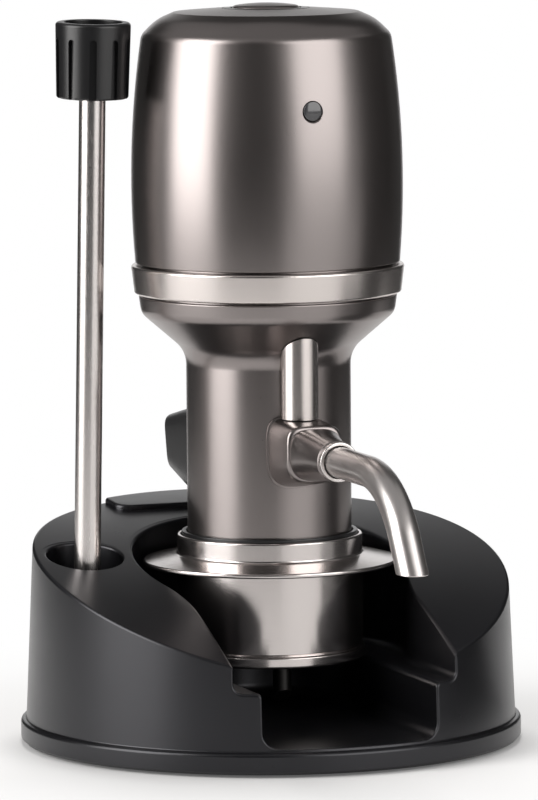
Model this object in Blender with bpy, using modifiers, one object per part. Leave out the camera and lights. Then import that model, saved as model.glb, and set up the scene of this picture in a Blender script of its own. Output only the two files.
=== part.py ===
# Electric wine aerator resting in its table stand, with the suction tube parked beside it.
# Metres, +Z up. The origin is the middle of the stand's base on the table.
# The spout points along -Y, over the open channel at the front of the stand.
import math

import bmesh
import bpy
from mathutils import Matrix, Vector

# Clearances, and how far a cut runs past what it cuts
GAP = 0.0003
SLIDE_GAP = 0.0004
OVERRUN = 0.004
WELD = 0.00001

# Facets round a turned piece
STEPS_LARGE = 48
STEPS_MEDIUM = 36
STEPS_SMALL = 24
STEPS_HIDDEN = 16
STEPS_TINY = 8

# Neck of the aerator, which takes the neck and lip of a standard wine bottle. The cup, the
# well, the tube's hole and the stand's outside follow from it, each with its named room.
NECK_RADIUS = 0.0221
NECK_WALL = 0.0016
NECK_FOOT_BEVEL = 0.0008

# Drip cup and its plastic insert, across
CUP_WALL = 0.0009
INSERT_WALL = 0.0012
INSERT_LEDGE = 0.0026
CUP_BORE_RADIUS = NECK_RADIUS + SLIDE_GAP + INSERT_WALL + GAP
CUP_RADIUS = CUP_BORE_RADIUS + CUP_WALL
SAUCER_WIDTH = 0.0092
SAUCER_RADIUS = CUP_RADIUS + SAUCER_WIDTH

# Stand: well, front channel and the gutter below it, across
WELL_ROOM = 0.0029
WELL_RADIUS = SAUCER_RADIUS + WELL_ROOM
WELL_BLEND_RADIUS = 0.0450
CHANNEL_STEP = 0.0060
CHANNEL_HALF_WIDTH = WELL_RADIUS - CHANNEL_STEP
LEDGE_FILLET = 0.0022
CUP_SEAT = 0.0006
GUTTER_HALF_WIDTH = CUP_RADIUS - CUP_SEAT
GUTTER_FILLET = 0.0040

# Stand: hole that holds the suction tube, between the well and the rim
TUBE_HOLE_RADIUS = 0.0103
TUBE_HOLE_WALL = 0.0031
TUBE_PLACE_ANGLE = math.radians(170.3)
TUBE_DISTANCE = WELL_RADIUS + TUBE_HOLE_WALL + TUBE_HOLE_RADIUS
TUBE_PLACE_X = TUBE_DISTANCE * math.cos(TUBE_PLACE_ANGLE)
TUBE_PLACE_Y = TUBE_DISTANCE * math.sin(TUBE_PLACE_ANGLE)

# Stand: outer form
STAND_RIM = 0.0053
STAND_RADIUS = TUBE_DISTANCE + TUBE_HOLE_RADIUS + STAND_RIM
STAND_DRAFT_SHARE = 0.045
STAND_WALL = 0.0025
STAND_LIFT = 0.0008
FLANGE_PROUD = 0.0015
FLANGE_RADIUS = STAND_RADIUS + FLANGE_PROUD
FLANGE_HEIGHT = 0.0065
FLANGE_ROUNDING = 0.0012

# Stand: raised pad at the back of the top
PAD_HALF_WIDTH = 0.0276
PAD_DEPTH = 0.0202
PAD_FRONT = STAND_RADIUS - PAD_DEPTH
PAD_CORNER = 0.0110
PAD_HEIGHT = 0.0020
PAD_INSET = 0.0008

# Stand: bottom cover, foot pad and their screws
COVER_RIM = 0.0030
COVER_RADIUS = FLANGE_RADIUS - COVER_RIM
COVER_THICKNESS = 0.0020
FOOT_PAD_INSET = 0.0030
FOOT_PAD_RADIUS = COVER_RADIUS - FOOT_PAD_INSET
FOOT_PAD_THICKNESS = 0.0015
COVER_FOOT = FOOT_PAD_THICKNESS + GAP
COVER_TOP = COVER_FOOT + COVER_THICKNESS
COVER_SEAT = COVER_TOP + GAP
STAND_SCREW_PLACES_SHARES = ((0.63, 0.63), (-0.63, 0.63), (0.72, -0.52), (-0.72, -0.52))
STAND_SCREW_INSET = 0.0060
STAND_SCREW_CIRCLE = STAND_RADIUS - STAND_SCREW_INSET
STAND_SCREW_RADIUS = 0.0011
STAND_SCREW_LENGTH = 0.0085
STAND_SCREW_HEAD_RADIUS = 0.0024
STAND_SCREW_HEAD_HEIGHT = 0.0009
STAND_BOSS_WALL = 0.0020
STAND_BOSS_RADIUS = STAND_SCREW_RADIUS + GAP + STAND_BOSS_WALL

# Stand: heights, from the bottom cover up
GUTTER_ROOM = 0.0008
GUTTER_HEIGHT = COVER_SEAT + GUTTER_ROOM + STAND_WALL
GUTTER_DEPTH = 0.0146
LEDGE_HEIGHT = GUTTER_HEIGHT + GUTTER_DEPTH
TOP_FRONT_RISE = 0.0030
TOP_MIDDLE_RISE = 0.0271
TOP_BACK_RISE = 0.0374
TOP_FRONT_HEIGHT = LEDGE_HEIGHT + TOP_FRONT_RISE
TOP_MIDDLE_HEIGHT = LEDGE_HEIGHT + TOP_MIDDLE_RISE
TOP_BACK_HEIGHT = LEDGE_HEIGHT + TOP_BACK_RISE
TOP_ARC_STEPS = 11
CEILING_ARC_STEPS = 5
SKY = TOP_BACK_HEIGHT + STAND_RADIUS
TUBE_HOLE_RISE = 0.0020
TUBE_HOLE_FLOOR = LEDGE_HEIGHT + TUBE_HOLE_RISE
TUBE_SOCKET_DEPTH = 0.0150
TUBE_SOCKET_FLOOR = TUBE_HOLE_FLOOR - TUBE_SOCKET_DEPTH

# Suction tube, which leans in its loose socket, and its knurled connector cap
TUBE_RADIUS = 0.00355
TUBE_WALL = 0.0006
TUBE_SOCKET_ROOM = 0.00055
TUBE_SOCKET_RADIUS = TUBE_RADIUS + TUBE_SOCKET_ROOM
TUBE_LENGTH = 0.1700
TUBE_LEAN_FRONT = math.radians(2.03)
TUBE_LEAN_SIDE = math.radians(0.57)
TUBE_COLLAR_WIDTH = 0.00305
TUBE_COLLAR_RADIUS = TUBE_RADIUS + TUBE_COLLAR_WIDTH
TUBE_COLLAR_HEIGHT = 0.0016
CAP_WALL = 0.0023
CAP_BORE_RADIUS = TUBE_COLLAR_RADIUS + CAP_WALL / 2
CAP_TOP_RADIUS = CAP_BORE_RADIUS + CAP_WALL
CAP_TAPER = 0.00045
CAP_FOOT_RADIUS = CAP_TOP_RADIUS - CAP_TAPER
CAP_HEIGHT = 0.0202
CAP_FLOOR = 0.0030
CAP_ROUNDING = 0.0008
CAP_SEAL_THICKNESS = 0.0014
FLUTE_COUNT = 10
FLUTE_HALF_WIDTH = 0.00095
FLUTE_DEPTH = 0.0009
FLUTE_TOP_SHARE = 0.74

# Drip cup and its insert: heights, from the stand's ledge up
CUP_FOOT = LEDGE_HEIGHT + GAP
CUP_HEIGHT = 0.0337
CUP_TOP = CUP_FOOT + CUP_HEIGHT
CUP_RIM_BEVEL = 0.0006
SAUCER_DROP = 0.0053
SAUCER_ROOT_HEIGHT = CUP_TOP - SAUCER_DROP
SAUCER_FALL = 0.0017
SAUCER_RIM_HEIGHT = SAUCER_ROOT_HEIGHT - SAUCER_FALL
SAUCER_RIM_DEPTH = 0.0012
CUP_GROOVE_RISE = 0.0033
CUP_GROOVE_HEIGHT = CUP_FOOT + CUP_GROOVE_RISE
CUP_GROOVE_DEPTH = 0.0005
CUP_GROOVE_WIDTH = 0.0009
CUP_BEAD_PROUD = 0.0006
DRAIN_PLACE_Y = -0.0090
DRAIN_RADIUS = 0.0025
DRAIN_BORE_RADIUS = 0.0015
DRAIN_LENGTH = 0.0110
DRAIN_FOOT = CUP_FOOT - DRAIN_LENGTH
INSERT_DROP = 0.0015
INSERT_TOP = CUP_TOP - INSERT_DROP
INSERT_FOOT = CUP_FOOT + CUP_WALL + GAP
INSERT_BORE_RADIUS = NECK_RADIUS - INSERT_LEDGE

# Head, band and flare, across
HEAD_RADIUS = 0.0367
HEAD_WALL = 0.0018
BAND_TOP_RADIUS = HEAD_RADIUS
BAND_TAPER = 0.0009
BAND_FOOT_RADIUS = BAND_TOP_RADIUS - BAND_TAPER
FLARE_STEP = 0.0011
FLARE_RIM_RADIUS = BAND_FOOT_RADIUS - FLARE_STEP
FLARE_TAPER = 0.0007
FLARE_TOP_RADIUS = FLARE_RIM_RADIUS - FLARE_TAPER
JOINT_STEP = 0.0013
JOINT_RADIUS = FLARE_RIM_RADIUS - JOINT_STEP

# Lower housing and trim band: heights, from the neck's seat in the cup up
NECK_SEAT_DEPTH = 0.0100
NECK_FOOT = CUP_TOP - NECK_SEAT_DEPTH
NECK_LENGTH = 0.0594
FLARE_FOOT_HEIGHT = NECK_FOOT + NECK_LENGTH
FLARE_FOOT_FILLET = 0.0080
FLARE_HEIGHT = 0.0103
FLARE_TOP_HEIGHT = FLARE_FOOT_HEIGHT + FLARE_HEIGHT
FLARE_TOP_FILLET = 0.0040
COLLAR_HEIGHT = 0.0053
SEAM = 0.0005
BAND_FOOT_HEIGHT = FLARE_TOP_HEIGHT + COLLAR_HEIGHT
BAND_HEIGHT = 0.0077
BAND_TOP_HEIGHT = BAND_FOOT_HEIGHT + BAND_HEIGHT
BAND_BEVEL = 0.0005
JOINT_REACH = 0.0053
JOINT_TOP = BAND_TOP_HEIGHT + JOINT_REACH

# Head shell: a barrel with a rounded shoulder and a slight crown
HEAD_FOOT = BAND_TOP_HEIGHT + SEAM
HEAD_LENGTH = 0.0657
HEAD_SHOULDER_HEIGHT = HEAD_FOOT + HEAD_LENGTH
HEAD_WAIST_SHARE = 0.33
HEAD_WAIST_HEIGHT = HEAD_FOOT + HEAD_LENGTH * HEAD_WAIST_SHARE
HEAD_BARREL_RADIUS = 0.3300
HEAD_SHOULDER_FILLET = 0.0090
HEAD_CROWN_SLOPE_SHARE = 0.06
HEAD_SIDE_STEPS = 3

# Power button, its ring, spring and switch
BUTTON_RADIUS = 0.0092
BUTTON_PROUD = 0.0005
BUTTON_RISE = 0.0015
BUTTON_DOME_SHARES = ((0, 0), (0.35, 0.06), (0.68, 0.26), (0.90, 0.62))
BUTTON_SKIN = 0.0014
BUTTON_WALL = 0.0010
BUTTON_FLANGE_PROUD = 0.0012
BUTTON_FLANGE_THICKNESS = 0.0014
BUTTON_STEM_RADIUS = 0.0020
BUTTON_TRAVEL = 0.0010
RING_WIDTH = 0.0019
RING_PROUD = 0.0003
RING_BORE_RADIUS = BUTTON_RADIUS + SLIDE_GAP
RING_RADIUS = RING_BORE_RADIUS + RING_WIDTH
RING_FLANGE_WIDTH = 0.0017
RING_FLANGE_RADIUS = RING_RADIUS + RING_FLANGE_WIDTH
RING_FLANGE_THICKNESS = 0.0010
SPRING_ROOM = 0.0094
SPRING_RADIUS = 0.0070
SPRING_WIRE_RADIUS = 0.0004
SPRING_TURNS = 4
SPRING_STEPS = 8
SWITCH_SIDE = 0.0060
SWITCH_HEIGHT = 0.0035
SWITCH_PLUNGER_RADIUS = 0.0016
SWITCH_PLUNGER_HEIGHT = 0.0007
SWITCH_BOARD_RADIUS = 0.0120
BOARD_THICKNESS = 0.0016

# Gear pump
PUMP_PLACE_Y = -0.0030
GEAR_TEETH = 10
GEAR_TIP_RADIUS = 0.0058
GEAR_ROOT_RADIUS = 0.0039
GEAR_CENTRES = GEAR_TIP_RADIUS + GEAR_ROOT_RADIUS + GAP
GEAR_HEIGHT = 0.0087
GEAR_TIP_SHARE = 0.17
GEAR_ROOT_SHARE = 0.55
SHAFT_RADIUS = 0.0015
IDLER_BORE_RADIUS = SHAFT_RADIUS + SLIDE_GAP
PUMP_WALL = 0.0044
PUMP_RADIUS = GEAR_CENTRES / 2 + GEAR_TIP_RADIUS + GAP + PUMP_WALL
PUMP_FLOOR = 0.0025
PUMP_COVER_THICKNESS = 0.0020
PORT_RADIUS = 0.0016
PUMP_OUTLET_SHARE = 0.38
PUMP_SCREW_PLACES_SHARES = ((0.43, 0.66), (-0.43, 0.66), (0, -0.76))
PUMP_SCREW_RADIUS = 0.0008
PUMP_SCREW_LENGTH = 0.0032
PUMP_SCREW_HEAD_RADIUS = 0.0016
PUMP_SCREW_HEAD_HEIGHT = 0.0009

# Inlet spigot and the soft parts round the bottle's neck
BOTTLE_DEPTH = 0.0450
SPIGOT_PLATE_FOOT = NECK_FOOT + BOTTLE_DEPTH
SPIGOT_PLATE_THICKNESS = 0.0030
SPIGOT_HUB_RADIUS = 0.0070
SPIGOT_HUB_HEIGHT = 0.0035
SPIGOT_NOSE_RADIUS = CAP_BORE_RADIUS - SLIDE_GAP
SPIGOT_NOSE_LENGTH = 0.0140
SPIGOT_NOSE_FOOT = SPIGOT_PLATE_FOOT - SPIGOT_NOSE_LENGTH
SPIGOT_BORE_RADIUS = 0.0025
SPIGOT_GALLERY_RADIUS = 0.0055
SPIGOT_GALLERY_DEPTH = 0.0010
GASKET_INNER_ROOM = 0.0016
GASKET_INNER_RADIUS = SPIGOT_NOSE_RADIUS + GASKET_INNER_ROOM
GASKET_OUTER_ROOM = 0.0040
GASKET_OUTER_RADIUS = NECK_RADIUS - NECK_WALL - GASKET_OUTER_ROOM
GASKET_THICKNESS = 0.0030
GUIDE_WALL = 0.0052
GUIDE_RISE = 0.0015
GUIDE_FOOT = NECK_FOOT + GUIDE_RISE
GUIDE_HEIGHT = 0.0085

# Gear pump and inner frame: heights, from the spigot's plate up
PUMP_FOOT = SPIGOT_PLATE_FOOT + SPIGOT_PLATE_THICKNESS + SPIGOT_HUB_HEIGHT
GEAR_FOOT = PUMP_FOOT + PUMP_FLOOR + GAP
GEAR_TOP = GEAR_FOOT + GEAR_HEIGHT
PUMP_TOP = GEAR_TOP
PUMP_OUTLET_HEIGHT = GEAR_FOOT + GEAR_HEIGHT * PUMP_OUTLET_SHARE
PUMP_COVER_FOOT = PUMP_TOP + GAP
PUMP_COVER_TOP = PUMP_COVER_FOOT + PUMP_COVER_THICKNESS
PUMP_SCREW_SEAT = PUMP_COVER_TOP - PUMP_SCREW_HEAD_HEIGHT
FRAME_PLATE_FOOT = PUMP_COVER_TOP + GAP
FRAME_PLATE_THICKNESS = 0.0022
FRAME_PLATE_TOP = FRAME_PLATE_FOOT + FRAME_PLATE_THICKNESS
FRAME_PLATE_ROOM = 0.0006
FRAME_DECK_RADIUS = 0.0260
FRAME_DECK_THICKNESS = 0.0020
FRAME_POST_RADIUS = 0.0026
FRAME_POST_INSET = 0.0028
BRACKET_HALF_WIDTH = 0.0040
BRACKET_THICKNESS = 0.0022
BRACKET_REACH = 0.0260

# Motor and battery
MOTOR_RADIUS = 0.0122
MOTOR_LENGTH = 0.0300
MOTOR_FOOT = FRAME_PLATE_TOP + GAP
MOTOR_NOSE_RADIUS = 0.0032
MOTOR_NOSE_HEIGHT = 0.0015
SHAFT_REACH = 0.0089
SHAFT_TOP = MOTOR_FOOT + SHAFT_REACH
BATTERY_RADIUS = 0.0092
BATTERY_ROOM = 0.0030
BATTERY_PLACE_X = 0.0136
BATTERY_PLACE_Y = 0.0136
BATTERY_NUB_RADIUS = 0.0028
BATTERY_NUB_HEIGHT = 0.0010

# Spout: riser, boss, nut and tube
SPOUT_RISE = 0.0348
SPOUT_HEIGHT = NECK_FOOT + SPOUT_RISE
RISER_RADIUS = 0.0050
RISER_PROUD = 0.0019
RISER_PLACE = NECK_RADIUS + RISER_PROUD
RISER_REACH = 0.0066
RISER_TOP = FLARE_FOOT_HEIGHT + RISER_REACH
RISER_BORE_RADIUS = 0.0018
RISER_BORE_STEP = 0.0018
RISER_BORE_PLACE = RISER_PLACE + RISER_BORE_STEP
RISER_BORE_TOP = PUMP_OUTLET_HEIGHT + PORT_RADIUS + GAP
BOSS_SUNK = 0.0021
BOSS_ROOT = NECK_RADIUS - BOSS_SUNK
BOSS_LENGTH = 0.0134
BOSS_EDGE = NECK_RADIUS + BOSS_LENGTH
BOSS_CONE_LENGTH = 0.0165
BOSS_MOUTH = BOSS_EDGE + BOSS_CONE_LENGTH
BOSS_ROOT_HALF_WIDTH = 0.0080
BOSS_ROOT_HALF_HEIGHT = 0.0096
BOSS_ROOT_DROP = 0.0008
BOSS_EDGE_HALF_WIDTH = 0.0078
BOSS_EDGE_HALF_HEIGHT = 0.0076
BOSS_MOUTH_RADIUS = 0.0055
# Each section: share of the way from edge to mouth, share of the way from edge size to mouth size, squareness
BOSS_CONE_SHARES = ((0.05, 0.28, 3.4), (0.22, 0.48, 2.8), (0.55, 0.80, 2.2), (1.0, 1.0, 2.0))
BOSS_SQUARENESS_SHARE = 4.2
BOSS_POINTS = 32
TUBE_SEAT_DEPTH = 0.0160
BOSS_TUBE_STOP = BOSS_MOUTH - TUBE_SEAT_DEPTH
NUT_WIDTH = 0.0016
NUT_WALL = 0.0009
SPOUT_RADIUS = 0.0041
SPOUT_WALL = 0.0007
SPOUT_REACH = 0.0225
SPOUT_BEND_START = BOSS_MOUTH + SPOUT_REACH
SPOUT_BEND_RADIUS = 0.0310
SPOUT_BEND_ANGLE = math.radians(58)
SPOUT_BEND_STEPS = 10
SPOUT_DROP = 0.0230
SPOUT_TIP_HEIGHT = SPOUT_HEIGHT - SPOUT_DROP
SPOUT_BEVEL_RESOLUTION = 6

# Lock lever at the back of the neck, measured from its pin
LEVER_PIVOT_PROUD = 0.0064
LEVER_PIVOT_Y = NECK_RADIUS + LEVER_PIVOT_PROUD
LEVER_PIVOT_RISE = 0.0330
LEVER_PIVOT_HEIGHT = NECK_FOOT + LEVER_PIVOT_RISE
LEVER_ROOT_REACH = 0.0010
LEVER_ROOT = LEVER_PIVOT_Y - LEVER_ROOT_REACH
LEVER_LENGTH = 0.0315
LEVER_TIP = LEVER_ROOT + LEVER_LENGTH
LEVER_ROOT_RISE = 0.0100
LEVER_ROOT_FALL = 0.0185
LEVER_TIP_RISE = 0.0035
LEVER_TIP_FALL = 0.0118
LEVER_ROOT_TOP = LEVER_PIVOT_HEIGHT + LEVER_ROOT_RISE
LEVER_ROOT_FOOT = LEVER_PIVOT_HEIGHT - LEVER_ROOT_FALL
LEVER_TIP_TOP = LEVER_PIVOT_HEIGHT + LEVER_TIP_RISE
LEVER_TIP_FOOT = LEVER_PIVOT_HEIGHT - LEVER_TIP_FALL
LEVER_HALF_WIDTH = 0.0105
LEVER_TAPER = 0.0006
LEVER_TIP_HALF_WIDTH = LEVER_HALF_WIDTH - LEVER_TAPER
LEVER_SQUARENESS_SHARE = 5.0
LEVER_TIP_SLANT = 0.0034
LEVER_POINTS = 24
LEVER_WALL = 0.0032
LEVER_POCKET_HALF_WIDTH = LEVER_HALF_WIDTH - LEVER_WALL
LEVER_ROOF = 0.0020
LEVER_WEB_PLACE = 0.0085
LEVER_WEB = LEVER_ROOT + LEVER_WEB_PLACE
LEVER_WEB_THICKNESS = 0.0020
LEVER_TIP_WALL = 0.0060
LEVER_POCKET_END = LEVER_TIP - LEVER_TIP_WALL
PAWL_HALF_WIDTH = 0.0028
PAWL_DROP = 0.0095
PAWL_THICKNESS = 0.0035
PAWL_TOP = LEVER_PIVOT_HEIGHT - PAWL_DROP
PAWL_FOOT = PAWL_TOP - PAWL_THICKNESS
PAWL_REACH = 0.0079
PAWL_TIP = NECK_RADIUS - PAWL_REACH
PAWL_SLOT_ROOM = 0.0008
PAWL_SLOT_HALF_WIDTH = PAWL_HALF_WIDTH + PAWL_SLOT_ROOM
PAWL_SLOT_BELOW = 0.0030
PAWL_SLOT_ABOVE = 0.0017
PAWL_SLOT_FOOT = PAWL_FOOT - PAWL_SLOT_BELOW
PAWL_SLOT_TOP = PAWL_TOP + PAWL_SLOT_ABOVE
PIN_RADIUS = 0.0012
BRACKET_EAR_INNER = 0.0034
BRACKET_EAR_THICKNESS = 0.0022
BRACKET_EAR_OUTER = BRACKET_EAR_INNER + BRACKET_EAR_THICKNESS
BRACKET_PLATE_ROOM = 0.0023
BRACKET_PLATE_BACK = LEVER_ROOT - BRACKET_PLATE_ROOM
BRACKET_BELOW = 0.0060
BRACKET_ABOVE = 0.0070
BRACKET_FOOT = LEVER_PIVOT_HEIGHT - BRACKET_BELOW
BRACKET_HEAD = LEVER_PIVOT_HEIGHT + BRACKET_ABOVE
BRACKET_PLATE_HALF_WIDTH = 0.0080
BRACKET_EAR_RADIUS = 0.0026
LEVER_SPRING_RADIUS = 0.0021
LEVER_SPRING_WIRE_RADIUS = 0.0003
LEVER_SPRING_TURNS = 3
LEVER_SPRING_HALF_LENGTH = 0.0024

# Status light and the control board behind it
LENS_DROP = 0.0233
LENS_HEIGHT = HEAD_SHOULDER_HEIGHT - LENS_DROP
LENS_RADIUS = 0.00255
LENS_PROUD = 0.0003
LENS_HEAD_DEPTH = 0.0022
LENS_STEM_RADIUS = 0.0016
LENS_STEM_LENGTH = 0.0030
LED_WIDTH = 0.0032
LED_HEIGHT = 0.0028
LED_DEPTH = 0.0018
CONTROL_BOARD_HALF_WIDTH = 0.0130
CONTROL_BOARD_INSET = 0.0087
CONTROL_BOARD_FRONT = HEAD_RADIUS - CONTROL_BOARD_INSET
CONTROL_BOARD_ABOVE = 0.0064
CONTROL_BOARD_HEIGHT = 0.0440
CONTROL_BOARD_TOP = LENS_HEIGHT + CONTROL_BOARD_ABOVE
CONTROL_BOARD_FOOT = CONTROL_BOARD_TOP - CONTROL_BOARD_HEIGHT

# Charging port at the back of the head, with its flap
PORT_RISE = 0.0208
PORT_HEIGHT = HEAD_FOOT + PORT_RISE
PORT_HALF_WIDTH = 0.0045
PORT_HALF_HEIGHT = 0.0016
PORT_SHELL = 0.0004
PORT_TONGUE_HALF_WIDTH = 0.0032
PORT_TONGUE_HALF_HEIGHT = 0.0004
FLAP_HALF_WIDTH = 0.0060
FLAP_HALF_HEIGHT = 0.00375
FLAP_CORNER = 0.0012
FLAP_THICKNESS = 0.0015
FLAP_SUNK = 0.0006
FLAP_FACE = HEAD_RADIUS - FLAP_SUNK
PORT_SUNK = 0.0005
PORT_MOUTH = FLAP_FACE - FLAP_THICKNESS - GAP - PORT_SUNK
PORT_DEPTH = 0.0068
PORT_BACK = PORT_MOUTH - PORT_DEPTH
PORT_BLOCK_HALF_WIDTH = 0.0085
PORT_BLOCK_HALF_HEIGHT = 0.0060
PORT_BLOCK_THICKNESS = 0.0033
PORT_BLOCK_FACE = FLAP_FACE - PORT_SUNK
PORT_BLOCK_BACK = PORT_BLOCK_FACE - PORT_BLOCK_THICKNESS
CHARGE_BOARD_HALF_WIDTH = 0.0080
CHARGE_BOARD_SETBACK = 0.0020
CHARGE_BOARD_DEPTH = 0.0078
CHARGE_BOARD_FRONT = PORT_MOUTH - CHARGE_BOARD_SETBACK
CHARGE_BOARD_BACK = CHARGE_BOARD_FRONT - CHARGE_BOARD_DEPTH
CHARGE_BOARD_TOP = PORT_HEIGHT - PORT_HALF_HEIGHT - GAP
CHARGE_BOARD_FOOT = CHARGE_BOARD_TOP - BOARD_THICKNESS

# Looks: colour, roughness, metallic
FINISHES = {
    "gunmetal": ((0.165, 0.145, 0.135), 0.32, 1.0),
    "satin_nickel": ((0.62, 0.58, 0.55), 0.30, 1.0),
    "brushed_steel": ((0.66, 0.63, 0.60), 0.24, 1.0),
    "dark_metal": ((0.10, 0.095, 0.09), 0.28, 1.0),
    "black_plastic": ((0.018, 0.018, 0.019), 0.42, 0.0),
    "black_rubber": ((0.012, 0.012, 0.012), 0.80, 0.0),
    "clear_silicone": ((0.55, 0.55, 0.53), 0.45, 0.0),
    "grey_plastic": ((0.24, 0.24, 0.25), 0.50, 0.0),
    "lens_grey": ((0.16, 0.16, 0.17), 0.12, 0.0),
    "board_green": ((0.02, 0.12, 0.05), 0.50, 0.0),
    "battery_wrap": ((0.05, 0.20, 0.42), 0.40, 0.0),
    "bare_steel": ((0.50, 0.50, 0.50), 0.30, 1.0),
}


# Scene set-up


def clear_scene():
    for item in list(bpy.data.objects):
        bpy.data.objects.remove(item, do_unlink=True)


def make_collection(name):
    collection = bpy.data.collections.new(name)
    bpy.context.scene.collection.children.link(collection)
    return collection


def make_materials():
    made = {}
    for name, (colour, roughness, metallic) in FINISHES.items():
        material = bpy.data.materials.new(name)
        material.use_nodes = True
        shader = material.node_tree.nodes["Principled BSDF"]
        shader.inputs["Base Color"].default_value = (*colour, 1.0)
        shader.inputs["Roughness"].default_value = roughness
        shader.inputs["Metallic"].default_value = metallic
        material.diffuse_color = (*colour, 1.0)
        made[name] = material
    return made


clear_scene()
PARTS = make_collection("electric_wine_aerator")
CUTTERS = make_collection("cutters")
MATERIALS = make_materials()


# Outlines: lists of (across, up) points


def rounded(corners, closed=False, steps=4):
    """The outline through corners (x, y, radius), each radius turned into an arc."""
    points = []
    last = len(corners) - 1
    for index, (x, y, radius) in enumerate(corners):
        if radius == 0 or (not closed and index in (0, last)):
            points.append((x, y))
            continue
        corner = Vector((x, y))
        back = (Vector(corners[index - 1][:2]) - corner).normalized()
        ahead = (Vector(corners[(index + 1) % len(corners)][:2]) - corner).normalized()
        half = back.angle(ahead) / 2
        centre = corner + (back + ahead).normalized() * (radius / math.sin(half))
        reach = radius / math.tan(half)
        first = corner + back * reach - centre
        final = corner + ahead * reach - centre
        start = math.atan2(first.y, first.x)
        sweep = math.atan2(final.y, final.x) - start
        sweep = (sweep + math.pi) % math.tau - math.pi
        for step in range(steps + 1):
            angle = start + sweep * step / steps
            points.append((centre.x + radius * math.cos(angle), centre.y + radius * math.sin(angle)))
    return points


def inset(points, distance):
    """A line of points moved to the right of its own direction, with mitred corners."""
    path = [Vector(point) for point in points]
    moved = []
    for index, point in enumerate(path):
        sides = []
        if index > 0:
            sides.append((point - path[index - 1]).normalized())
        if index < len(path) - 1:
            sides.append((path[index + 1] - point).normalized())
        normals = [Vector((side.y, -side.x)) for side in sides]
        middle = sum(normals, Vector((0, 0))).normalized()
        moved.append(tuple(point + middle * (distance / middle.dot(normals[0]))))
    return moved


def circle(radius, count, centre=(0, 0)):
    steps = [math.tau * index / count for index in range(count)]
    return [(centre[0] + radius * math.cos(a), centre[1] + radius * math.sin(a)) for a in steps]


def arc(centre, radius, start, end, steps):
    angles = [start + (end - start) * step / steps for step in range(steps + 1)]
    return [(centre[0] + radius * math.cos(a), centre[1] + radius * math.sin(a)) for a in angles]


def rectangle(left, right, low, high, radius=0, steps=3):
    corners = ((left, low, radius), (right, low, radius), (right, high, radius), (left, high, radius))
    return rounded(corners, closed=True, steps=steps)


def squircle(half_width, half_height, squareness, count):
    """A superellipse, which runs from a circle at squareness 2 to a rounded square."""
    points = []
    for index in range(count):
        angle = math.tau * (index + 0.5) / count
        across = math.copysign(abs(math.cos(angle)) ** (2 / squareness), math.cos(angle))
        up = math.copysign(abs(math.sin(angle)) ** (2 / squareness), math.sin(angle))
        points.append((half_width * across, half_height * up))
    return points


# Making objects


def add_object(name, mesh, finish=None):
    """A named part with its finish, or a hidden cutter when it has none."""
    item = bpy.data.objects.new(name, mesh)
    if finish:
        PARTS.objects.link(item)
        mesh.materials.clear()
        mesh.materials.append(MATERIALS[finish])
    else:
        CUTTERS.objects.link(item)
        item.hide_render = True
        item.display_type = "WIRE"
    mesh.shade_smooth()
    mesh.set_sharp_from_angle(angle=math.radians(32))
    return item


def turned(name, profile, finish=None, steps=STEPS_MEDIUM, closed=False):
    """A profile of (radius, height) points, read down its outer side, turned about Z."""
    mesh = bpy.data.meshes.new(name)
    edges = [(index, index + 1) for index in range(len(profile) - 1)]
    if closed:
        edges.append((len(profile) - 1, 0))
    mesh.from_pydata([(radius, 0, height) for radius, height in profile], edges, [])
    item = add_object(name, mesh, finish)
    screw = item.modifiers.new("turn", "SCREW")
    screw.axis = "Z"
    screw.angle = math.tau
    screw.steps = steps
    screw.render_steps = steps
    screw.use_smooth_shade = True
    screw.use_merge_vertices = True
    screw.merge_threshold = WELD
    return item


def curve_object(name, kind, lines, closed):
    data = bpy.data.curves.new(name, "CURVE")
    data.dimensions = kind
    for line in lines:
        spline = data.splines.new("POLY")
        spline.points.add(len(line) - 1)
        for point, place in zip(spline.points, line):
            point.co = (*place, *([0] * (3 - len(place))), 1)
        spline.use_cyclic_u = closed
    item = bpy.data.objects.new(name, data)
    bpy.context.scene.collection.objects.link(item)
    return item


def as_mesh(curve, name, finish):
    """The curve's shape as a welded mesh object, in the curve's place."""
    bpy.context.view_layer.update()
    evaluated = curve.evaluated_get(bpy.context.evaluated_depsgraph_get())
    mesh = bpy.data.meshes.new_from_object(evaluated)
    work = bmesh.new()
    work.from_mesh(mesh)
    bmesh.ops.remove_doubles(work, verts=work.verts, dist=WELD)
    bmesh.ops.dissolve_limit(work, angle_limit=math.radians(0.2), verts=work.verts, edges=work.edges)
    bmesh.ops.recalc_face_normals(work, faces=work.faces)
    work.to_mesh(mesh)
    work.free()
    place = curve.matrix_world.copy()
    bpy.data.objects.remove(curve, do_unlink=True)
    item = add_object(name, mesh, finish)
    item.matrix_world = place
    return item


def plate(name, outline, low, high, finish=None, holes=()):
    """A flat outline, with any holes, made solid from low to high."""
    curve = curve_object(name + "_outline", "2D", [outline, *holes], True)
    curve.data.fill_mode = "BOTH"
    curve.data.extrude = (high - low) / 2
    curve.location.z = (low + high) / 2
    return as_mesh(curve, name, finish)


def tube(name, route, radius, finish=None, resolution=2):
    """A round bar along a route, with flat ends."""
    curve = curve_object(name + "_route", "3D", [route], False)
    curve.data.bevel_depth = radius
    curve.data.bevel_resolution = resolution
    curve.data.use_fill_caps = True
    return as_mesh(curve, name, finish)


def box(name, left, right, front, back, low, high, finish=None):
    work = bmesh.new()
    bmesh.ops.create_cube(work, size=1)
    size = Vector((right - left, back - front, high - low))
    middle = Vector((right + left, back + front, high + low)) / 2
    bmesh.ops.scale(work, vec=size, verts=work.verts)
    bmesh.ops.translate(work, vec=middle, verts=work.verts)
    mesh = bpy.data.meshes.new(name)
    work.to_mesh(mesh)
    work.free()
    return add_object(name, mesh, finish)


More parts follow.
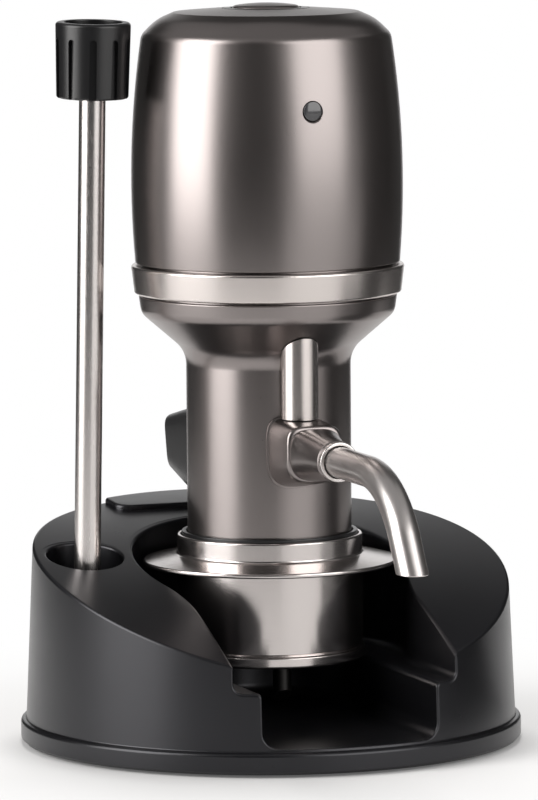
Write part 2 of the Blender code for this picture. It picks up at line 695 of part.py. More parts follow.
def cylinder(name, radius, low, high, finish=None, place=(0, 0), steps=STEPS_SMALL):
    work = bmesh.new()
    bmesh.ops.create_cone(
        work, cap_ends=True, segments=steps, radius1=radius, radius2=radius, depth=high - low
    )
    bmesh.ops.translate(work, vec=(*place, (low + high) / 2), verts=work.verts)
    mesh = bpy.data.meshes.new(name)
    work.to_mesh(mesh)
    work.free()
    return add_object(name, mesh, finish)


def lofted(name, sections, finish=None):
    """Rings of equal count joined in turn, each a list of (x, y, z), with flat ends."""
    work = bmesh.new()
    rings = [[work.verts.new(point) for point in section] for section in sections]
    count = len(rings[0])
    for near, far in zip(rings, rings[1:]):
        for index in range(count):
            after = (index + 1) % count
            work.faces.new((near[index], near[after], far[after], far[index]))
    work.faces.new(rings[0])
    work.faces.new(rings[-1])
    bmesh.ops.recalc_face_normals(work, faces=work.faces)
    mesh = bpy.data.meshes.new(name)
    work.to_mesh(mesh)
    work.free()
    return add_object(name, mesh, finish)


def combine(item, other, operation="DIFFERENCE"):
    step = item.modifiers.new(other.name, "BOOLEAN")
    step.operation = operation
    step.solver = "EXACT"
    step.object = other


def cut(item, *others):
    for other in others:
        combine(item, other)


def unite(item, *others):
    for other in others:
        combine(item, other, "UNION")


def bevel(item, width, segments=3):
    """Rounds the square edges of a solid."""
    step = item.modifiers.new("rounding", "BEVEL")
    step.width = width
    step.segments = segments
    step.limit_method = "ANGLE"
    step.angle_limit = math.radians(60)
    return item


def face_front(item, height):
    """Turns an object made about +Z so that it faces the front, at this height."""
    item.matrix_world = Matrix.Translation((0, 0, height)) @ Matrix.Rotation(math.pi / 2, 4, "X")
    return item


def face_back(item, height):
    """Turns an object made about +Z so that it faces the back, at this height."""
    turn = Matrix.Rotation(math.pi, 4, "Z") @ Matrix.Rotation(math.pi / 2, 4, "X")
    item.matrix_world = Matrix.Translation((0, 0, height)) @ turn @ item.matrix_world
    return item


def lay_across(item):
    """Turns an outline drawn in X and Y into one in Y and Z, extruded along X."""
    turn = Matrix.Rotation(math.pi / 2, 4, "Z") @ Matrix.Rotation(math.pi / 2, 4, "X")
    item.matrix_world = turn @ item.matrix_world
    return item


def axis_empty(name, place, rotation=(0, 0, 0)):
    empty = bpy.data.objects.new(name, None)
    empty.location = place
    empty.rotation_euler = rotation
    empty.empty_display_size = GUTTER_HEIGHT
    PARTS.objects.link(empty)
    bpy.context.view_layer.update()
    return empty


def carry(empty, *items):
    """Parents items to a joint's empty without moving them."""
    bpy.context.view_layer.update()
    for item in items:
        place = item.matrix_world.copy()
        item.parent = empty
        item.matrix_parent_inverse = empty.matrix_world.inverted()
        item.matrix_world = place


def ride(empty, *items):
    """Parents items whose own coordinates are those of the empty."""
    for item in items:
        item.parent = empty


# Stand


def stand_radius(height):
    return STAND_RADIUS - (height - FLANGE_HEIGHT) * STAND_DRAFT_SHARE


def top_arc(steps):
    """The curved line of the stand's top, from its back to its front, as (y, z) points."""
    back = Vector((STAND_RADIUS, TOP_BACK_HEIGHT))
    middle = Vector((0, TOP_MIDDLE_HEIGHT))
    front = Vector((-STAND_RADIUS, TOP_FRONT_HEIGHT))
    first = middle - back
    second = front - middle
    turn = first.x * second.y - first.y * second.x
    along = (back + middle) / 2
    across = Vector((-first.y, first.x))
    gap = (middle + front) / 2 - along
    share = (gap.x * second.x + gap.y * second.y) / (across.x * second.x + across.y * second.y)
    centre = along + across * share
    radius = (middle - centre).length * math.copysign(1, turn)
    reach = STAND_RADIUS + OVERRUN
    points = []
    for step in range(steps + 1):
        y = reach - 2 * reach * step / steps
        points.append((y, centre.y + math.sqrt(radius**2 - (y - centre.x) ** 2)))
    return points


def above_top(name, lift, steps=TOP_ARC_STEPS):
    """Everything above the stand's top surface, raised or lowered by lift."""
    line = top_arc(steps)
    reach = line[0][0]
    outline = [*line, (-reach, SKY), (reach, SKY)]
    item = lay_across(plate(name, outline, -reach, reach))
    item.matrix_world = Matrix.Translation((0, 0, lift)) @ item.matrix_world
    return item


def well_outline(grow):
    """The round well running out into the front channel, seen from above."""
    well = WELL_RADIUS + grow
    half = CHANNEL_HALF_WIDTH + grow
    blend = WELL_BLEND_RADIUS - grow
    front = -FLANGE_RADIUS - OVERRUN
    blend_x = half + blend
    blend_y = -math.sqrt((well + blend) ** 2 - blend_x**2)
    tilt = math.atan2(-blend_y, blend_x)
    right = arc((blend_x, blend_y), blend, math.pi, math.pi - tilt, 4)
    round_part = arc((0, 0), well, -tilt, math.pi + tilt, STEPS_SMALL)
    left = [(-x, y) for x, y in reversed(right)]
    return [(half, front), *right, *round_part[1:-1], *left, (-half, front)]


def gutter_outline(grow):
    half = GUTTER_HALF_WIDTH + grow
    front = -FLANGE_RADIUS - OVERRUN
    return [(half, front), *arc((0, 0), half, 0, math.pi, STEPS_TINY * 2), (-half, front)]


def pad_solid():
    """The low pad at the back of the top, inset from the stand's wall."""
    reach = STAND_RADIUS + PAD_CORNER
    outline = rectangle(-PAD_HALF_WIDTH, PAD_HALF_WIDTH, PAD_FRONT, reach, PAD_CORNER, 5)
    pad = plate("pad_blank", outline, TOP_MIDDLE_HEIGHT, SKY)
    foot = stand_radius(TOP_MIDDLE_HEIGHT) - PAD_INSET
    head = stand_radius(SKY) - PAD_INSET
    wall = turned("pad_wall", [(0, SKY), (head, SKY), (foot, TOP_MIDDLE_HEIGHT), (0, TOP_MIDDLE_HEIGHT)])
    combine(pad, wall, "INTERSECT")
    cut(pad, above_top("above_pad", PAD_HEIGHT))
    return pad


def stand_screw_places():
    return [(STAND_SCREW_CIRCLE * x, STAND_SCREW_CIRCLE * y) for x, y in STAND_SCREW_PLACES_SHARES]


def stand_hollow():
    """The space inside the stand's shell, open below, which leaves walls, bosses and the tube's pillar."""
    foot = STAND_RADIUS - STAND_WALL
    profile = [
        (0, SKY),
        (stand_radius(SKY) - STAND_WALL, SKY),
        (foot, FLANGE_HEIGHT),
        (foot, COVER_SEAT),
        (COVER_RADIUS + GAP, COVER_SEAT),
        (COVER_RADIUS + GAP, -OVERRUN),
        (0, -OVERRUN),
    ]
    hollow = turned("stand_hollow", profile, steps=STEPS_MEDIUM)
    cut(hollow, above_top("under_top", -STAND_WALL, CEILING_ARC_STEPS))
    cut(hollow, plate("round_well", well_outline(STAND_WALL), LEDGE_HEIGHT - STAND_WALL, SKY))
    gutter_floor = GUTTER_HEIGHT - STAND_WALL
    cut(hollow, plate("round_gutter", gutter_outline(STAND_WALL), gutter_floor, LEDGE_HEIGHT))
    pillar = [
        (0, SKY),
        (TUBE_HOLE_RADIUS + STAND_WALL, SKY),
        (TUBE_HOLE_RADIUS + STAND_WALL, TUBE_HOLE_FLOOR - STAND_WALL),
        (TUBE_SOCKET_RADIUS + STAND_WALL, TUBE_HOLE_FLOOR - STAND_WALL - OVERRUN),
        (TUBE_SOCKET_RADIUS + STAND_WALL, COVER_SEAT),
        (0, COVER_SEAT),
    ]
    post = turned("tube_pillar", pillar, steps=STEPS_HIDDEN)
    post.location = (TUBE_PLACE_X, TUBE_PLACE_Y, 0)
    cut(hollow, post)
    for index, place in enumerate(stand_screw_places(), 1):
        boss = cylinder(f"stand_boss_{index}", STAND_BOSS_RADIUS, COVER_SEAT, SKY, place=place, steps=STEPS_TINY)
        cut(hollow, boss)
    return hollow


def make_stand_body():
    flange_foot = FLANGE_RADIUS - STAND_LIFT
    profile = [
        (0, SKY),
        (stand_radius(SKY), SKY),
        (STAND_RADIUS, FLANGE_HEIGHT),
        *rounded(
            (
                (STAND_RADIUS, FLANGE_HEIGHT, 0),
                (FLANGE_RADIUS, FLANGE_HEIGHT, FLANGE_ROUNDING),
                (FLANGE_RADIUS, STAND_LIFT, 0),
            ),
            steps=3,
        )[1:-1],
        (FLANGE_RADIUS, STAND_LIFT + STAND_LIFT),
        (flange_foot, STAND_LIFT),
        (0, STAND_LIFT),
    ]
    body = turned("stand_body", profile, "black_plastic", STEPS_LARGE)
    cut(body, above_top("above_top", 0))
    unite(body, pad_solid())
    cut(body, bevel(plate("well", well_outline(0), LEDGE_HEIGHT, SKY), LEDGE_FILLET))
    gutter_top = LEDGE_HEIGHT + GUTTER_FILLET + GAP
    cut(body, bevel(plate("gutter", gutter_outline(0), GUTTER_HEIGHT, gutter_top), GUTTER_FILLET))
    hole = [
        (0, SKY),
        (TUBE_HOLE_RADIUS, SKY),
        (TUBE_HOLE_RADIUS, TUBE_HOLE_FLOOR),
        (TUBE_SOCKET_RADIUS, TUBE_HOLE_FLOOR),
        (TUBE_SOCKET_RADIUS, TUBE_SOCKET_FLOOR),
        (0, TUBE_SOCKET_FLOOR),
    ]
    tube_hole = turned("tube_hole", hole, steps=STEPS_SMALL)
    tube_hole.location = (TUBE_PLACE_X, TUBE_PLACE_Y, 0)
    cut(body, tube_hole, stand_hollow())
    pilot_top = COVER_FOOT + STAND_SCREW_HEAD_HEIGHT + STAND_SCREW_LENGTH + GAP
    for index, place in enumerate(stand_screw_places(), 1):
        radius = STAND_SCREW_RADIUS + GAP
        pilot = cylinder(f"pilot_{index}", radius, COVER_TOP, pilot_top, place=place, steps=STEPS_TINY)
        cut(body, pilot)


def make_stand_underside():
    cover = cylinder(
        "stand_bottom_cover", COVER_RADIUS, COVER_FOOT, COVER_TOP, "black_plastic", steps=STEPS_MEDIUM
    )
    head_top = COVER_FOOT + STAND_SCREW_HEAD_HEIGHT
    for index, place in enumerate(stand_screw_places(), 1):
        radius = STAND_SCREW_RADIUS
        head = STAND_SCREW_HEAD_RADIUS
        profile = [
            (0, head_top + STAND_SCREW_LENGTH),
            (radius, head_top + STAND_SCREW_LENGTH - radius),
            (radius, head_top),
            (head, head_top),
            (head, COVER_FOOT),
            (0, COVER_FOOT),
        ]
        screw = turned(f"stand_screw_{index}", profile, "bare_steel", STEPS_TINY)
        screw.location = (*place, 0)
        hole = [
            (0, COVER_TOP + OVERRUN),
            (radius + GAP, COVER_TOP + OVERRUN),
            (radius + GAP, head_top + GAP),
            (head + GAP, head_top + GAP),
            (head + GAP, -OVERRUN),
            (0, -OVERRUN),
        ]
        well = turned(f"cover_hole_{index}", hole, steps=STEPS_TINY)
        well.location = (*place, 0)
        cut(cover, well)
    cylinder("foot_pad", FOOT_PAD_RADIUS, 0, FOOT_PAD_THICKNESS, "black_rubber", steps=STEPS_MEDIUM)


# Suction tube: its pieces are drawn in the frame of the leaning socket axis

TUBE_PIVOT_HEIGHT = (TUBE_HOLE_FLOOR + TUBE_SOCKET_FLOOR) / 2
TUBE_FOOT = TUBE_SOCKET_FLOOR + GAP - TUBE_PIVOT_HEIGHT
TUBE_HEAD = TUBE_FOOT + TUBE_LENGTH
CAP_FOOT = TUBE_HEAD - TUBE_COLLAR_HEIGHT - GAP - CAP_FLOOR


def make_suction_tube():
    """The steel tube with the collar that keeps its cap on."""
    profile = [
        (TUBE_RADIUS - TUBE_WALL, TUBE_HEAD),
        (TUBE_COLLAR_RADIUS, TUBE_HEAD),
        (TUBE_COLLAR_RADIUS, TUBE_HEAD - TUBE_COLLAR_HEIGHT),
        (TUBE_RADIUS, TUBE_HEAD - TUBE_COLLAR_HEIGHT),
        (TUBE_RADIUS, TUBE_FOOT),
        (TUBE_RADIUS - TUBE_WALL, TUBE_FOOT),
    ]
    return turned("suction_tube", profile, "brushed_steel", STEPS_SMALL, closed=True)


def flute_cutter():
    """One round-topped flute, open at the foot, standing at +X on the cap's side."""
    head = CAP_FOOT + CAP_HEIGHT * FLUTE_TOP_SHARE
    half = FLUTE_HALF_WIDTH
    top = arc((0, head - half), half, 0, math.pi, 4)
    outline = [(half, CAP_FOOT - OVERRUN), *top, (-half, CAP_FOOT - OVERRUN)]
    reach = CAP_TOP_RADIUS + OVERRUN
    item = lay_across(plate("flute_blank", outline, CAP_FOOT_RADIUS - FLUTE_DEPTH, reach))
    bpy.context.view_layer.update()
    return item


def make_connector_cap():
    """The knurled cap: open at its top, with flutes round its side."""
    top = CAP_FOOT + CAP_HEIGHT
    bore = CAP_BORE_RADIUS
    outer = rounded(
        (
            (bore, top, 0),
            (CAP_TOP_RADIUS, top, CAP_ROUNDING),
            (CAP_FOOT_RADIUS, CAP_FOOT, CAP_ROUNDING),
            (TUBE_RADIUS + GAP, CAP_FOOT, 0),
        ),
        steps=2,
    )
    profile = [*outer, (TUBE_RADIUS + GAP, CAP_FOOT + CAP_FLOOR), (bore, CAP_FOOT + CAP_FLOOR)]
    cap = turned("connector_cap", profile, "black_plastic", closed=True)
    blank = flute_cutter()
    work = bmesh.new()
    for index in range(FLUTE_COUNT):
        turn = Matrix.Rotation(math.tau * index / FLUTE_COUNT, 4, "Z")
        copy = blank.data.copy()
        copy.transform(turn @ blank.matrix_world)
        work.from_mesh(copy)
        bpy.data.meshes.remove(copy)
    mesh = bpy.data.meshes.new("flutes")
    work.to_mesh(mesh)
    work.free()
    bpy.data.objects.remove(blank, do_unlink=True)
    flutes = add_object("flutes", mesh)
    cut(cap, flutes)
    return cap, flutes


def make_cap_seal():
    low = TUBE_HEAD + GAP
    high = low + CAP_SEAL_THICKNESS
    outer = CAP_BORE_RADIUS - GAP
    inner = TUBE_RADIUS - TUBE_WALL
    profile = [(inner, high), (outer, high), (outer, low), (inner, low)]
    return turned("cap_seal", profile, "clear_silicone", STEPS_SMALL, closed=True)


def make_tube_group():
    axis = axis_empty(
        "suction_tube_axis",
        (TUBE_PLACE_X, TUBE_PLACE_Y, TUBE_PIVOT_HEIGHT),
        (TUBE_LEAN_FRONT, TUBE_LEAN_SIDE, 0),
    )
    cap, flutes = make_connector_cap()
    ride(axis, make_suction_tube(), cap, flutes, make_cap_seal())


# Drip cup


def make_drip_cup():
    """A steel cup with a rolled groove near its foot, a drip saucer and an off-centre drain."""
    groove = CUP_GROOVE_WIDTH / 2
    bead = CUP_RADIUS + CUP_BEAD_PROUD
    profile = [
        (0, CUP_FOOT + CUP_WALL),
        (CUP_BORE_RADIUS, CUP_FOOT + CUP_WALL),
        (CUP_BORE_RADIUS, CUP_TOP),
        (CUP_RADIUS - CUP_RIM_BEVEL, CUP_TOP),
        (CUP_RADIUS, CUP_TOP - CUP_RIM_BEVEL),
        (CUP_RADIUS, SAUCER_ROOT_HEIGHT),
        (SAUCER_RADIUS - CUP_RIM_BEVEL, SAUCER_RIM_HEIGHT),
        (SAUCER_RADIUS, SAUCER_RIM_HEIGHT - CUP_RIM_BEVEL),
        (SAUCER_RADIUS, SAUCER_RIM_HEIGHT - SAUCER_RIM_DEPTH),
        (SAUCER_RADIUS - CUP_WALL, SAUCER_RIM_HEIGHT - SAUCER_RIM_DEPTH),
        (CUP_RADIUS, SAUCER_ROOT_HEIGHT - CUP_WALL),
        (CUP_RADIUS, CUP_GROOVE_HEIGHT + groove),
        (CUP_RADIUS - CUP_GROOVE_DEPTH, CUP_GROOVE_HEIGHT),
        (bead, CUP_GROOVE_HEIGHT - groove),
        (bead, CUP_FOOT + CUP_RIM_BEVEL),
        (bead - CUP_RIM_BEVEL, CUP_FOOT),
        (0, CUP_FOOT),
    ]
    cup = turned("drip_cup", profile, "brushed_steel")
    place = (0, DRAIN_PLACE_Y)
    floor = CUP_FOOT + CUP_WALL / 2
    unite(cup, cylinder("drain", DRAIN_RADIUS, DRAIN_FOOT, floor, place=place, steps=STEPS_HIDDEN))
    low = DRAIN_FOOT - OVERRUN
    high = floor + OVERRUN
    cut(cup, cylinder("drain_bore", DRAIN_BORE_RADIUS, low, high, place=place, steps=STEPS_HIDDEN))
    slant = box(
        "drain_slant", -DRAIN_RADIUS * 2, DRAIN_RADIUS * 2, -OVERRUN, OVERRUN, -OVERRUN, 0
    )
    slant.matrix_world = Matrix.Translation((0, DRAIN_PLACE_Y, DRAIN_FOOT + DRAIN_BORE_RADIUS)) @ (
        Matrix.Rotation(-math.pi / 5, 4, "X")
    )
    cut(cup, slant)


def make_cup_insert():
    outer = CUP_BORE_RADIUS - GAP
    bore = NECK_RADIUS + SLIDE_GAP
    seat = NECK_FOOT - GAP
    profile = [
        (bore, INSERT_TOP),
        (outer, INSERT_TOP),
        (outer, INSERT_FOOT),
        (INSERT_BORE_RADIUS, INSERT_FOOT),
        (INSERT_BORE_RADIUS, seat),
        (bore, seat),
    ]
    turned("cup_insert", profile, "black_plastic", STEPS_SMALL, closed=True)


# Aerator: outer shells


def flare_corners():
    """The lower housing's outer corners, from its upper edge down, as (radius, height)."""
    return [
        (FLARE_RIM_RADIUS, BAND_FOOT_HEIGHT - SEAM),
        (FLARE_TOP_RADIUS, FLARE_TOP_HEIGHT),
        (NECK_RADIUS, FLARE_FOOT_HEIGHT),
        (NECK_RADIUS, NECK_FOOT),
    ]


def flare_profile(corners, steps):
    fillets = (0, FLARE_TOP_FILLET, FLARE_FOOT_FILLET, 0)
    return rounded([(*corner, fillet) for corner, fillet in zip(corners, fillets)], steps=steps)


def housing_solid(name, grow):
    """The lower housing as a full body, grown by a clearance, to trim what meets it."""
    outer = flare_profile(inset(flare_corners(), -grow), 3)
    return turned(name, [(0, outer[0][1]), *outer, (0, outer[-1][1])])


def make_neck_housing():
    outer = flare_profile(flare_corners(), 3)
    inner = flare_profile(inset(flare_corners(), NECK_WALL), 1)
    joint_bore = JOINT_RADIUS - NECK_WALL
    inner_flare = [point for point in inner if point[0] < joint_bore]
    profile = [
        (joint_bore, JOINT_TOP),
        (JOINT_RADIUS, JOINT_TOP),
        (JOINT_RADIUS, outer[0][1]),
        *outer[:-1],
        (NECK_RADIUS, NECK_FOOT + NECK_FOOT_BEVEL),
        (NECK_RADIUS - NECK_FOOT_BEVEL, NECK_FOOT),
        *reversed(inner_flare),
        (joint_bore, FLARE_TOP_HEIGHT),
    ]
    housing = turned("neck_housing", profile, "gunmetal", closed=True)
    slot = box(
        "pawl_slot",
        -PAWL_SLOT_HALF_WIDTH,
        PAWL_SLOT_HALF_WIDTH,
        NECK_RADIUS - NECK_WALL - OVERRUN,
        NECK_RADIUS + OVERRUN,
        PAWL_SLOT_FOOT,
        PAWL_SLOT_TOP,
    )
    outlet = cylinder(
        "outlet_hole", PORT_RADIUS + GAP, NECK_RADIUS - NECK_WALL - OVERRUN, RISER_PLACE, steps=STEPS_TINY
    )
    cut(housing, slot, face_front(outlet, PUMP_OUTLET_HEIGHT))


def make_trim_band():
    bore = JOINT_RADIUS + GAP
    profile = [
        (bore, BAND_TOP_HEIGHT),
        (BAND_TOP_RADIUS - BAND_BEVEL, BAND_TOP_HEIGHT),
        (BAND_TOP_RADIUS, BAND_TOP_HEIGHT - BAND_BEVEL),
        (BAND_FOOT_RADIUS, BAND_FOOT_HEIGHT + BAND_BEVEL),
        (BAND_FOOT_RADIUS - BAND_BEVEL, BAND_FOOT_HEIGHT),
        (bore, BAND_FOOT_HEIGHT),
    ]
    turned("trim_band", profile, "satin_nickel", closed=True)


def head_radius(height):
    """The head's barrel: a long arc about its waist."""
    rise = height - HEAD_WAIST_HEIGHT
    return HEAD_RADIUS - HEAD_BARREL_RADIUS + math.sqrt(HEAD_BARREL_RADIUS**2 - rise**2)


def crown_height(radius):
    corner = head_radius(HEAD_SHOULDER_HEIGHT)
    return HEAD_SHOULDER_HEIGHT + (corner - radius) * HEAD_CROWN_SLOPE_SHARE


def make_head_shell():
    """The barrel-shaped upper shell, with its button opening, light hole and charging recess."""
    opening = RING_RADIUS + GAP
    foot = HEAD_FOOT
    shoulder = (head_radius(HEAD_SHOULDER_HEIGHT), HEAD_SHOULDER_HEIGHT)
    side = []
    for step in range(1, HEAD_SIDE_STEPS + 1):
        height = HEAD_SHOULDER_HEIGHT + (foot - HEAD_SHOULDER_HEIGHT) * step / HEAD_SIDE_STEPS
        side.append((head_radius(height), height, 0))
    crown = (opening, crown_height(opening), 0)
    outer = rounded([crown, (*shoulder, HEAD_SHOULDER_FILLET), *side])
    foot_radius = head_radius(foot)
    lined = inset([crown[:2], shoulder, (foot_radius, foot)], HEAD_WALL)
    inner_fillet = HEAD_SHOULDER_FILLET - HEAD_WALL
    inner_crown = (opening, lined[0][1], 0)
    inner_foot = (foot_radius - HEAD_WALL, foot, 0)
    inner = rounded([inner_crown, (*lined[1], inner_fillet), inner_foot], steps=2)
    shell = turned("head_shell", [*outer, *reversed(inner)], "gunmetal", closed=True)
    block = box(
        "port_block",
        -PORT_BLOCK_HALF_WIDTH,
        PORT_BLOCK_HALF_WIDTH,
        PORT_BLOCK_BACK,
        PORT_BLOCK_FACE,
        PORT_HEIGHT - PORT_BLOCK_HALF_HEIGHT,
        PORT_HEIGHT + PORT_BLOCK_HALF_HEIGHT,
    )
    unite(shell, block)
    floor = FLAP_FACE - FLAP_THICKNESS - GAP
    recess_cutter = plate("port_recess", flap_shape(GAP, GAP), floor, HEAD_RADIUS + OVERRUN)
    across = PORT_HALF_WIDTH + GAP
    up = PORT_HALF_HEIGHT + GAP
    mouth = rectangle(-across, across, -up, up, PORT_HALF_HEIGHT)
    mouth_cutter = plate("port_mouth", mouth, PORT_BLOCK_BACK - OVERRUN, HEAD_RADIUS + OVERRUN)
    low = HEAD_RADIUS - HEAD_WALL - OVERRUN
    high = HEAD_RADIUS + OVERRUN
    lens_hole = cylinder("lens_hole", LENS_RADIUS + GAP, low, high, steps=STEPS_TINY * 2)
    cut(shell, face_back(recess_cutter, PORT_HEIGHT), face_back(mouth_cutter, PORT_HEIGHT))
    cut(shell, face_front(lens_hole, LENS_HEIGHT))


def flap_shape(grow, below):
    """The charging flap's face: square corners at its hinge, round ones above."""
    wide = FLAP_HALF_WIDTH + grow
    high = FLAP_HALF_HEIGHT + grow
    low = -FLAP_HALF_HEIGHT - below
    corner = FLAP_CORNER + grow
    return rounded(((-wide, low, 0), (wide, low, 0), (wide, high, corner), (-wide, high, corner)), closed=True)


# Aerator: power button, with its ring seated under the crown, and what stands below it

RING_TOP = crown_height(RING_RADIUS) + RING_PROUD
RING_FOOT = crown_height(RING_FLANGE_RADIUS) - HEAD_WALL
BUTTON_EDGE_HEIGHT = RING_TOP + BUTTON_PROUD
BUTTON_TOP = BUTTON_EDGE_HEIGHT + BUTTON_RISE
BUTTON_UNDERSIDE = BUTTON_EDGE_HEIGHT - BUTTON_SKIN
SWITCH_BOARD_TOP = BUTTON_UNDERSIDE - SPRING_ROOM
SWITCH_BOARD_FOOT = SWITCH_BOARD_TOP - BOARD_THICKNESS
FRAME_DECK_TOP = SWITCH_BOARD_FOOT - GAP
FRAME_DECK_FOOT = FRAME_DECK_TOP - FRAME_DECK_THICKNESS


def make_power_button():
    rise = BUTTON_TOP - BUTTON_EDGE_HEIGHT
    dome = [(BUTTON_RADIUS * x, BUTTON_TOP - rise * drop) for x, drop in BUTTON_DOME_SHARES]
    flange = BUTTON_RADIUS + BUTTON_FLANGE_PROUD
    flange_top = RING_FOOT - SLIDE_GAP
    flange_foot = flange_top - BUTTON_FLANGE_THICKNESS
    stem_foot = SWITCH_BOARD_TOP + GAP + SWITCH_HEIGHT + SWITCH_PLUNGER_HEIGHT + BUTTON_TRAVEL + GAP
    profile = [
        *dome,
        (BUTTON_RADIUS, BUTTON_EDGE_HEIGHT),
        (BUTTON_RADIUS, flange_top),
        (flange, flange_top),
        (flange, flange_foot),
        (BUTTON_RADIUS - BUTTON_WALL, flange_foot),
        (BUTTON_RADIUS - BUTTON_WALL, BUTTON_UNDERSIDE),
        (BUTTON_STEM_RADIUS, BUTTON_UNDERSIDE),
        (BUTTON_STEM_RADIUS, stem_foot),
        (0, stem_foot),
    ]
    axis = axis_empty("power_button_axis", (0, 0, BUTTON_EDGE_HEIGHT))
    carry(axis, turned("power_button", profile, "gunmetal", STEPS_SMALL))


def make_button_ring():
    bore = RING_BORE_RADIUS
    flange_top = RING_FOOT - GAP
    profile = [
        (bore, RING_TOP),
        (RING_RADIUS, crown_height(RING_RADIUS)),
        (RING_RADIUS, flange_top),
        (RING_FLANGE_RADIUS, flange_top),
        (RING_FLANGE_RADIUS, flange_top - RING_FLANGE_THICKNESS),
        (BUTTON_RADIUS + BUTTON_FLANGE_PROUD + SLIDE_GAP, flange_top - RING_FLANGE_THICKNESS),
        (BUTTON_RADIUS + BUTTON_FLANGE_PROUD + SLIDE_GAP, RING_FOOT),
        (bore, RING_FOOT),
    ]
    turned("button_ring", profile, "dark_metal", STEPS_SMALL, closed=True)


def make_switch():
    foot = SWITCH_BOARD_FOOT
    cylinder("switch_board", SWITCH_BOARD_RADIUS, foot, SWITCH_BOARD_TOP, "board_green", steps=STEPS_HIDDEN)
    foot = SWITCH_BOARD_TOP + GAP
    half = SWITCH_SIDE / 2
    switch = box("tact_switch", -half, half, -half, half, foot, foot + SWITCH_HEIGHT, "grey_plastic")
    top = foot + SWITCH_HEIGHT
    tip = top + SWITCH_PLUNGER_HEIGHT
    unite(switch, cylinder("plunger", SWITCH_PLUNGER_RADIUS, foot + half / 2, tip, steps=STEPS_TINY))


def helix(radius, turns, length, steps):
    count = turns * steps
    points = []
    for index in range(count + 1):
        angle = math.tau * index / steps
        points.append((radius * math.cos(angle), radius * math.sin(angle), length * index / count))
    return points


def make_button_spring():
    low = SWITCH_BOARD_TOP + GAP + SPRING_WIRE_RADIUS
    high = BUTTON_UNDERSIDE - GAP - SPRING_WIRE_RADIUS
    route = [(x, y, low + z) for x, y, z in helix(SPRING_RADIUS, SPRING_TURNS, high - low, SPRING_STEPS)]
    tube("button_spring", route, SPRING_WIRE_RADIUS, "bare_steel", 1)


# Aerator: frame, motor, battery and boards


def flare_bore(height):
    """The radius inside the flare's straight part, at this height."""
    slope = (FLARE_TOP_RADIUS - NECK_RADIUS) / FLARE_HEIGHT
    outer = NECK_RADIUS + (height - FLARE_FOOT_HEIGHT) * slope
    return outer - NECK_WALL * math.hypot(1, slope)


def make_inner_frame():
    """A plate in the flare and a deck under the button, joined by two posts, with two board columns."""
    foot = FRAME_PLATE_FOOT
    top = FRAME_PLATE_TOP
    plate_radius = flare_bore(foot) - FRAME_PLATE_ROOM
    frame = cylinder("inner_frame", plate_radius, foot, top, "grey_plastic", steps=STEPS_SMALL)
    deck = cylinder("frame_deck", FRAME_DECK_RADIUS, FRAME_DECK_FOOT, FRAME_DECK_TOP)
    half = FRAME_PLATE_THICKNESS / 2
    deck_half = FRAME_DECK_THICKNESS / 2
    posts = []
    for side in (-1, 1):
        place = (side * (plate_radius - FRAME_POST_INSET), 0)
        name = f"frame_post_{side + 2}"
        head = FRAME_DECK_FOOT + deck_half
        posts.append(cylinder(name, FRAME_POST_RADIUS, foot + half, head, place=place, steps=STEPS_TINY))
    board_back = CONTROL_BOARD_FRONT - BOARD_THICKNESS
    front = board_back - GAP
    wide = BRACKET_HALF_WIDTH
    front_column = box(
        "front_column",
        -wide,
        wide,
        -front,
        -front + BRACKET_THICKNESS,
        foot + half,
        CONTROL_BOARD_FOOT + BRACKET_REACH,
    )
    back = CHARGE_BOARD_BACK + BRACKET_THICKNESS
    back_column = box(
        "back_column", -wide, wide, back - BRACKET_THICKNESS, back, foot + half, CHARGE_BOARD_FOOT - GAP
    )
    unite(frame, *posts, deck, front_column, back_column)
    shaft_hole = MOTOR_NOSE_RADIUS + GAP
    place = (-GEAR_CENTRES / 2, PUMP_PLACE_Y)
    cut(frame, cylinder("shaft_hole", shaft_hole, foot - OVERRUN, top + OVERRUN, place=place))


def make_motor():
    foot = MOTOR_FOOT
    nose_foot = foot - MOTOR_NOSE_HEIGHT
    shaft = SHAFT_RADIUS + SLIDE_GAP
    bevel_size = MOTOR_NOSE_HEIGHT / 2
    profile = [
        (0, foot + MOTOR_LENGTH),
        (MOTOR_RADIUS - bevel_size, foot + MOTOR_LENGTH),
        (MOTOR_RADIUS, foot + MOTOR_LENGTH - bevel_size),
        (MOTOR_RADIUS, foot),
        (MOTOR_NOSE_RADIUS, foot),
        (MOTOR_NOSE_RADIUS, nose_foot),
        (shaft, nose_foot),
        (shaft, SHAFT_TOP + GAP),
        (0, SHAFT_TOP + GAP),
    ]
    motor = turned("motor", profile, "bare_steel", STEPS_HIDDEN)
    motor.location = (-GEAR_CENTRES / 2, PUMP_PLACE_Y, 0)


def make_battery():
    foot = FRAME_PLATE_TOP + GAP
    top = FRAME_DECK_FOOT - BATTERY_ROOM
    shoulder = top - BATTERY_NUB_HEIGHT
    profile = [
        (0, top),
        (BATTERY_NUB_RADIUS, top),
        (BATTERY_NUB_RADIUS, shoulder),
        (BATTERY_RADIUS, shoulder),
        (BATTERY_RADIUS, foot),
        (0, foot),
    ]
    battery = turned("battery_cell", profile, "battery_wrap", STEPS_HIDDEN)
    battery.location = (BATTERY_PLACE_X, BATTERY_PLACE_Y, 0)


def make_boards():
    wide = CONTROL_BOARD_HALF_WIDTH
    front = -CONTROL_BOARD_FRONT
    back = front + BOARD_THICKNESS
    box("control_board", -wide, wide, front, back, CONTROL_BOARD_FOOT, CONTROL_BOARD_TOP, "board_green")
    box(
        "charge_board",
        -CHARGE_BOARD_HALF_WIDTH,
        CHARGE_BOARD_HALF_WIDTH,
        CHARGE_BOARD_BACK,
        CHARGE_BOARD_FRONT,
        CHARGE_BOARD_FOOT,
        CHARGE_BOARD_TOP,
        "board_green",
    )


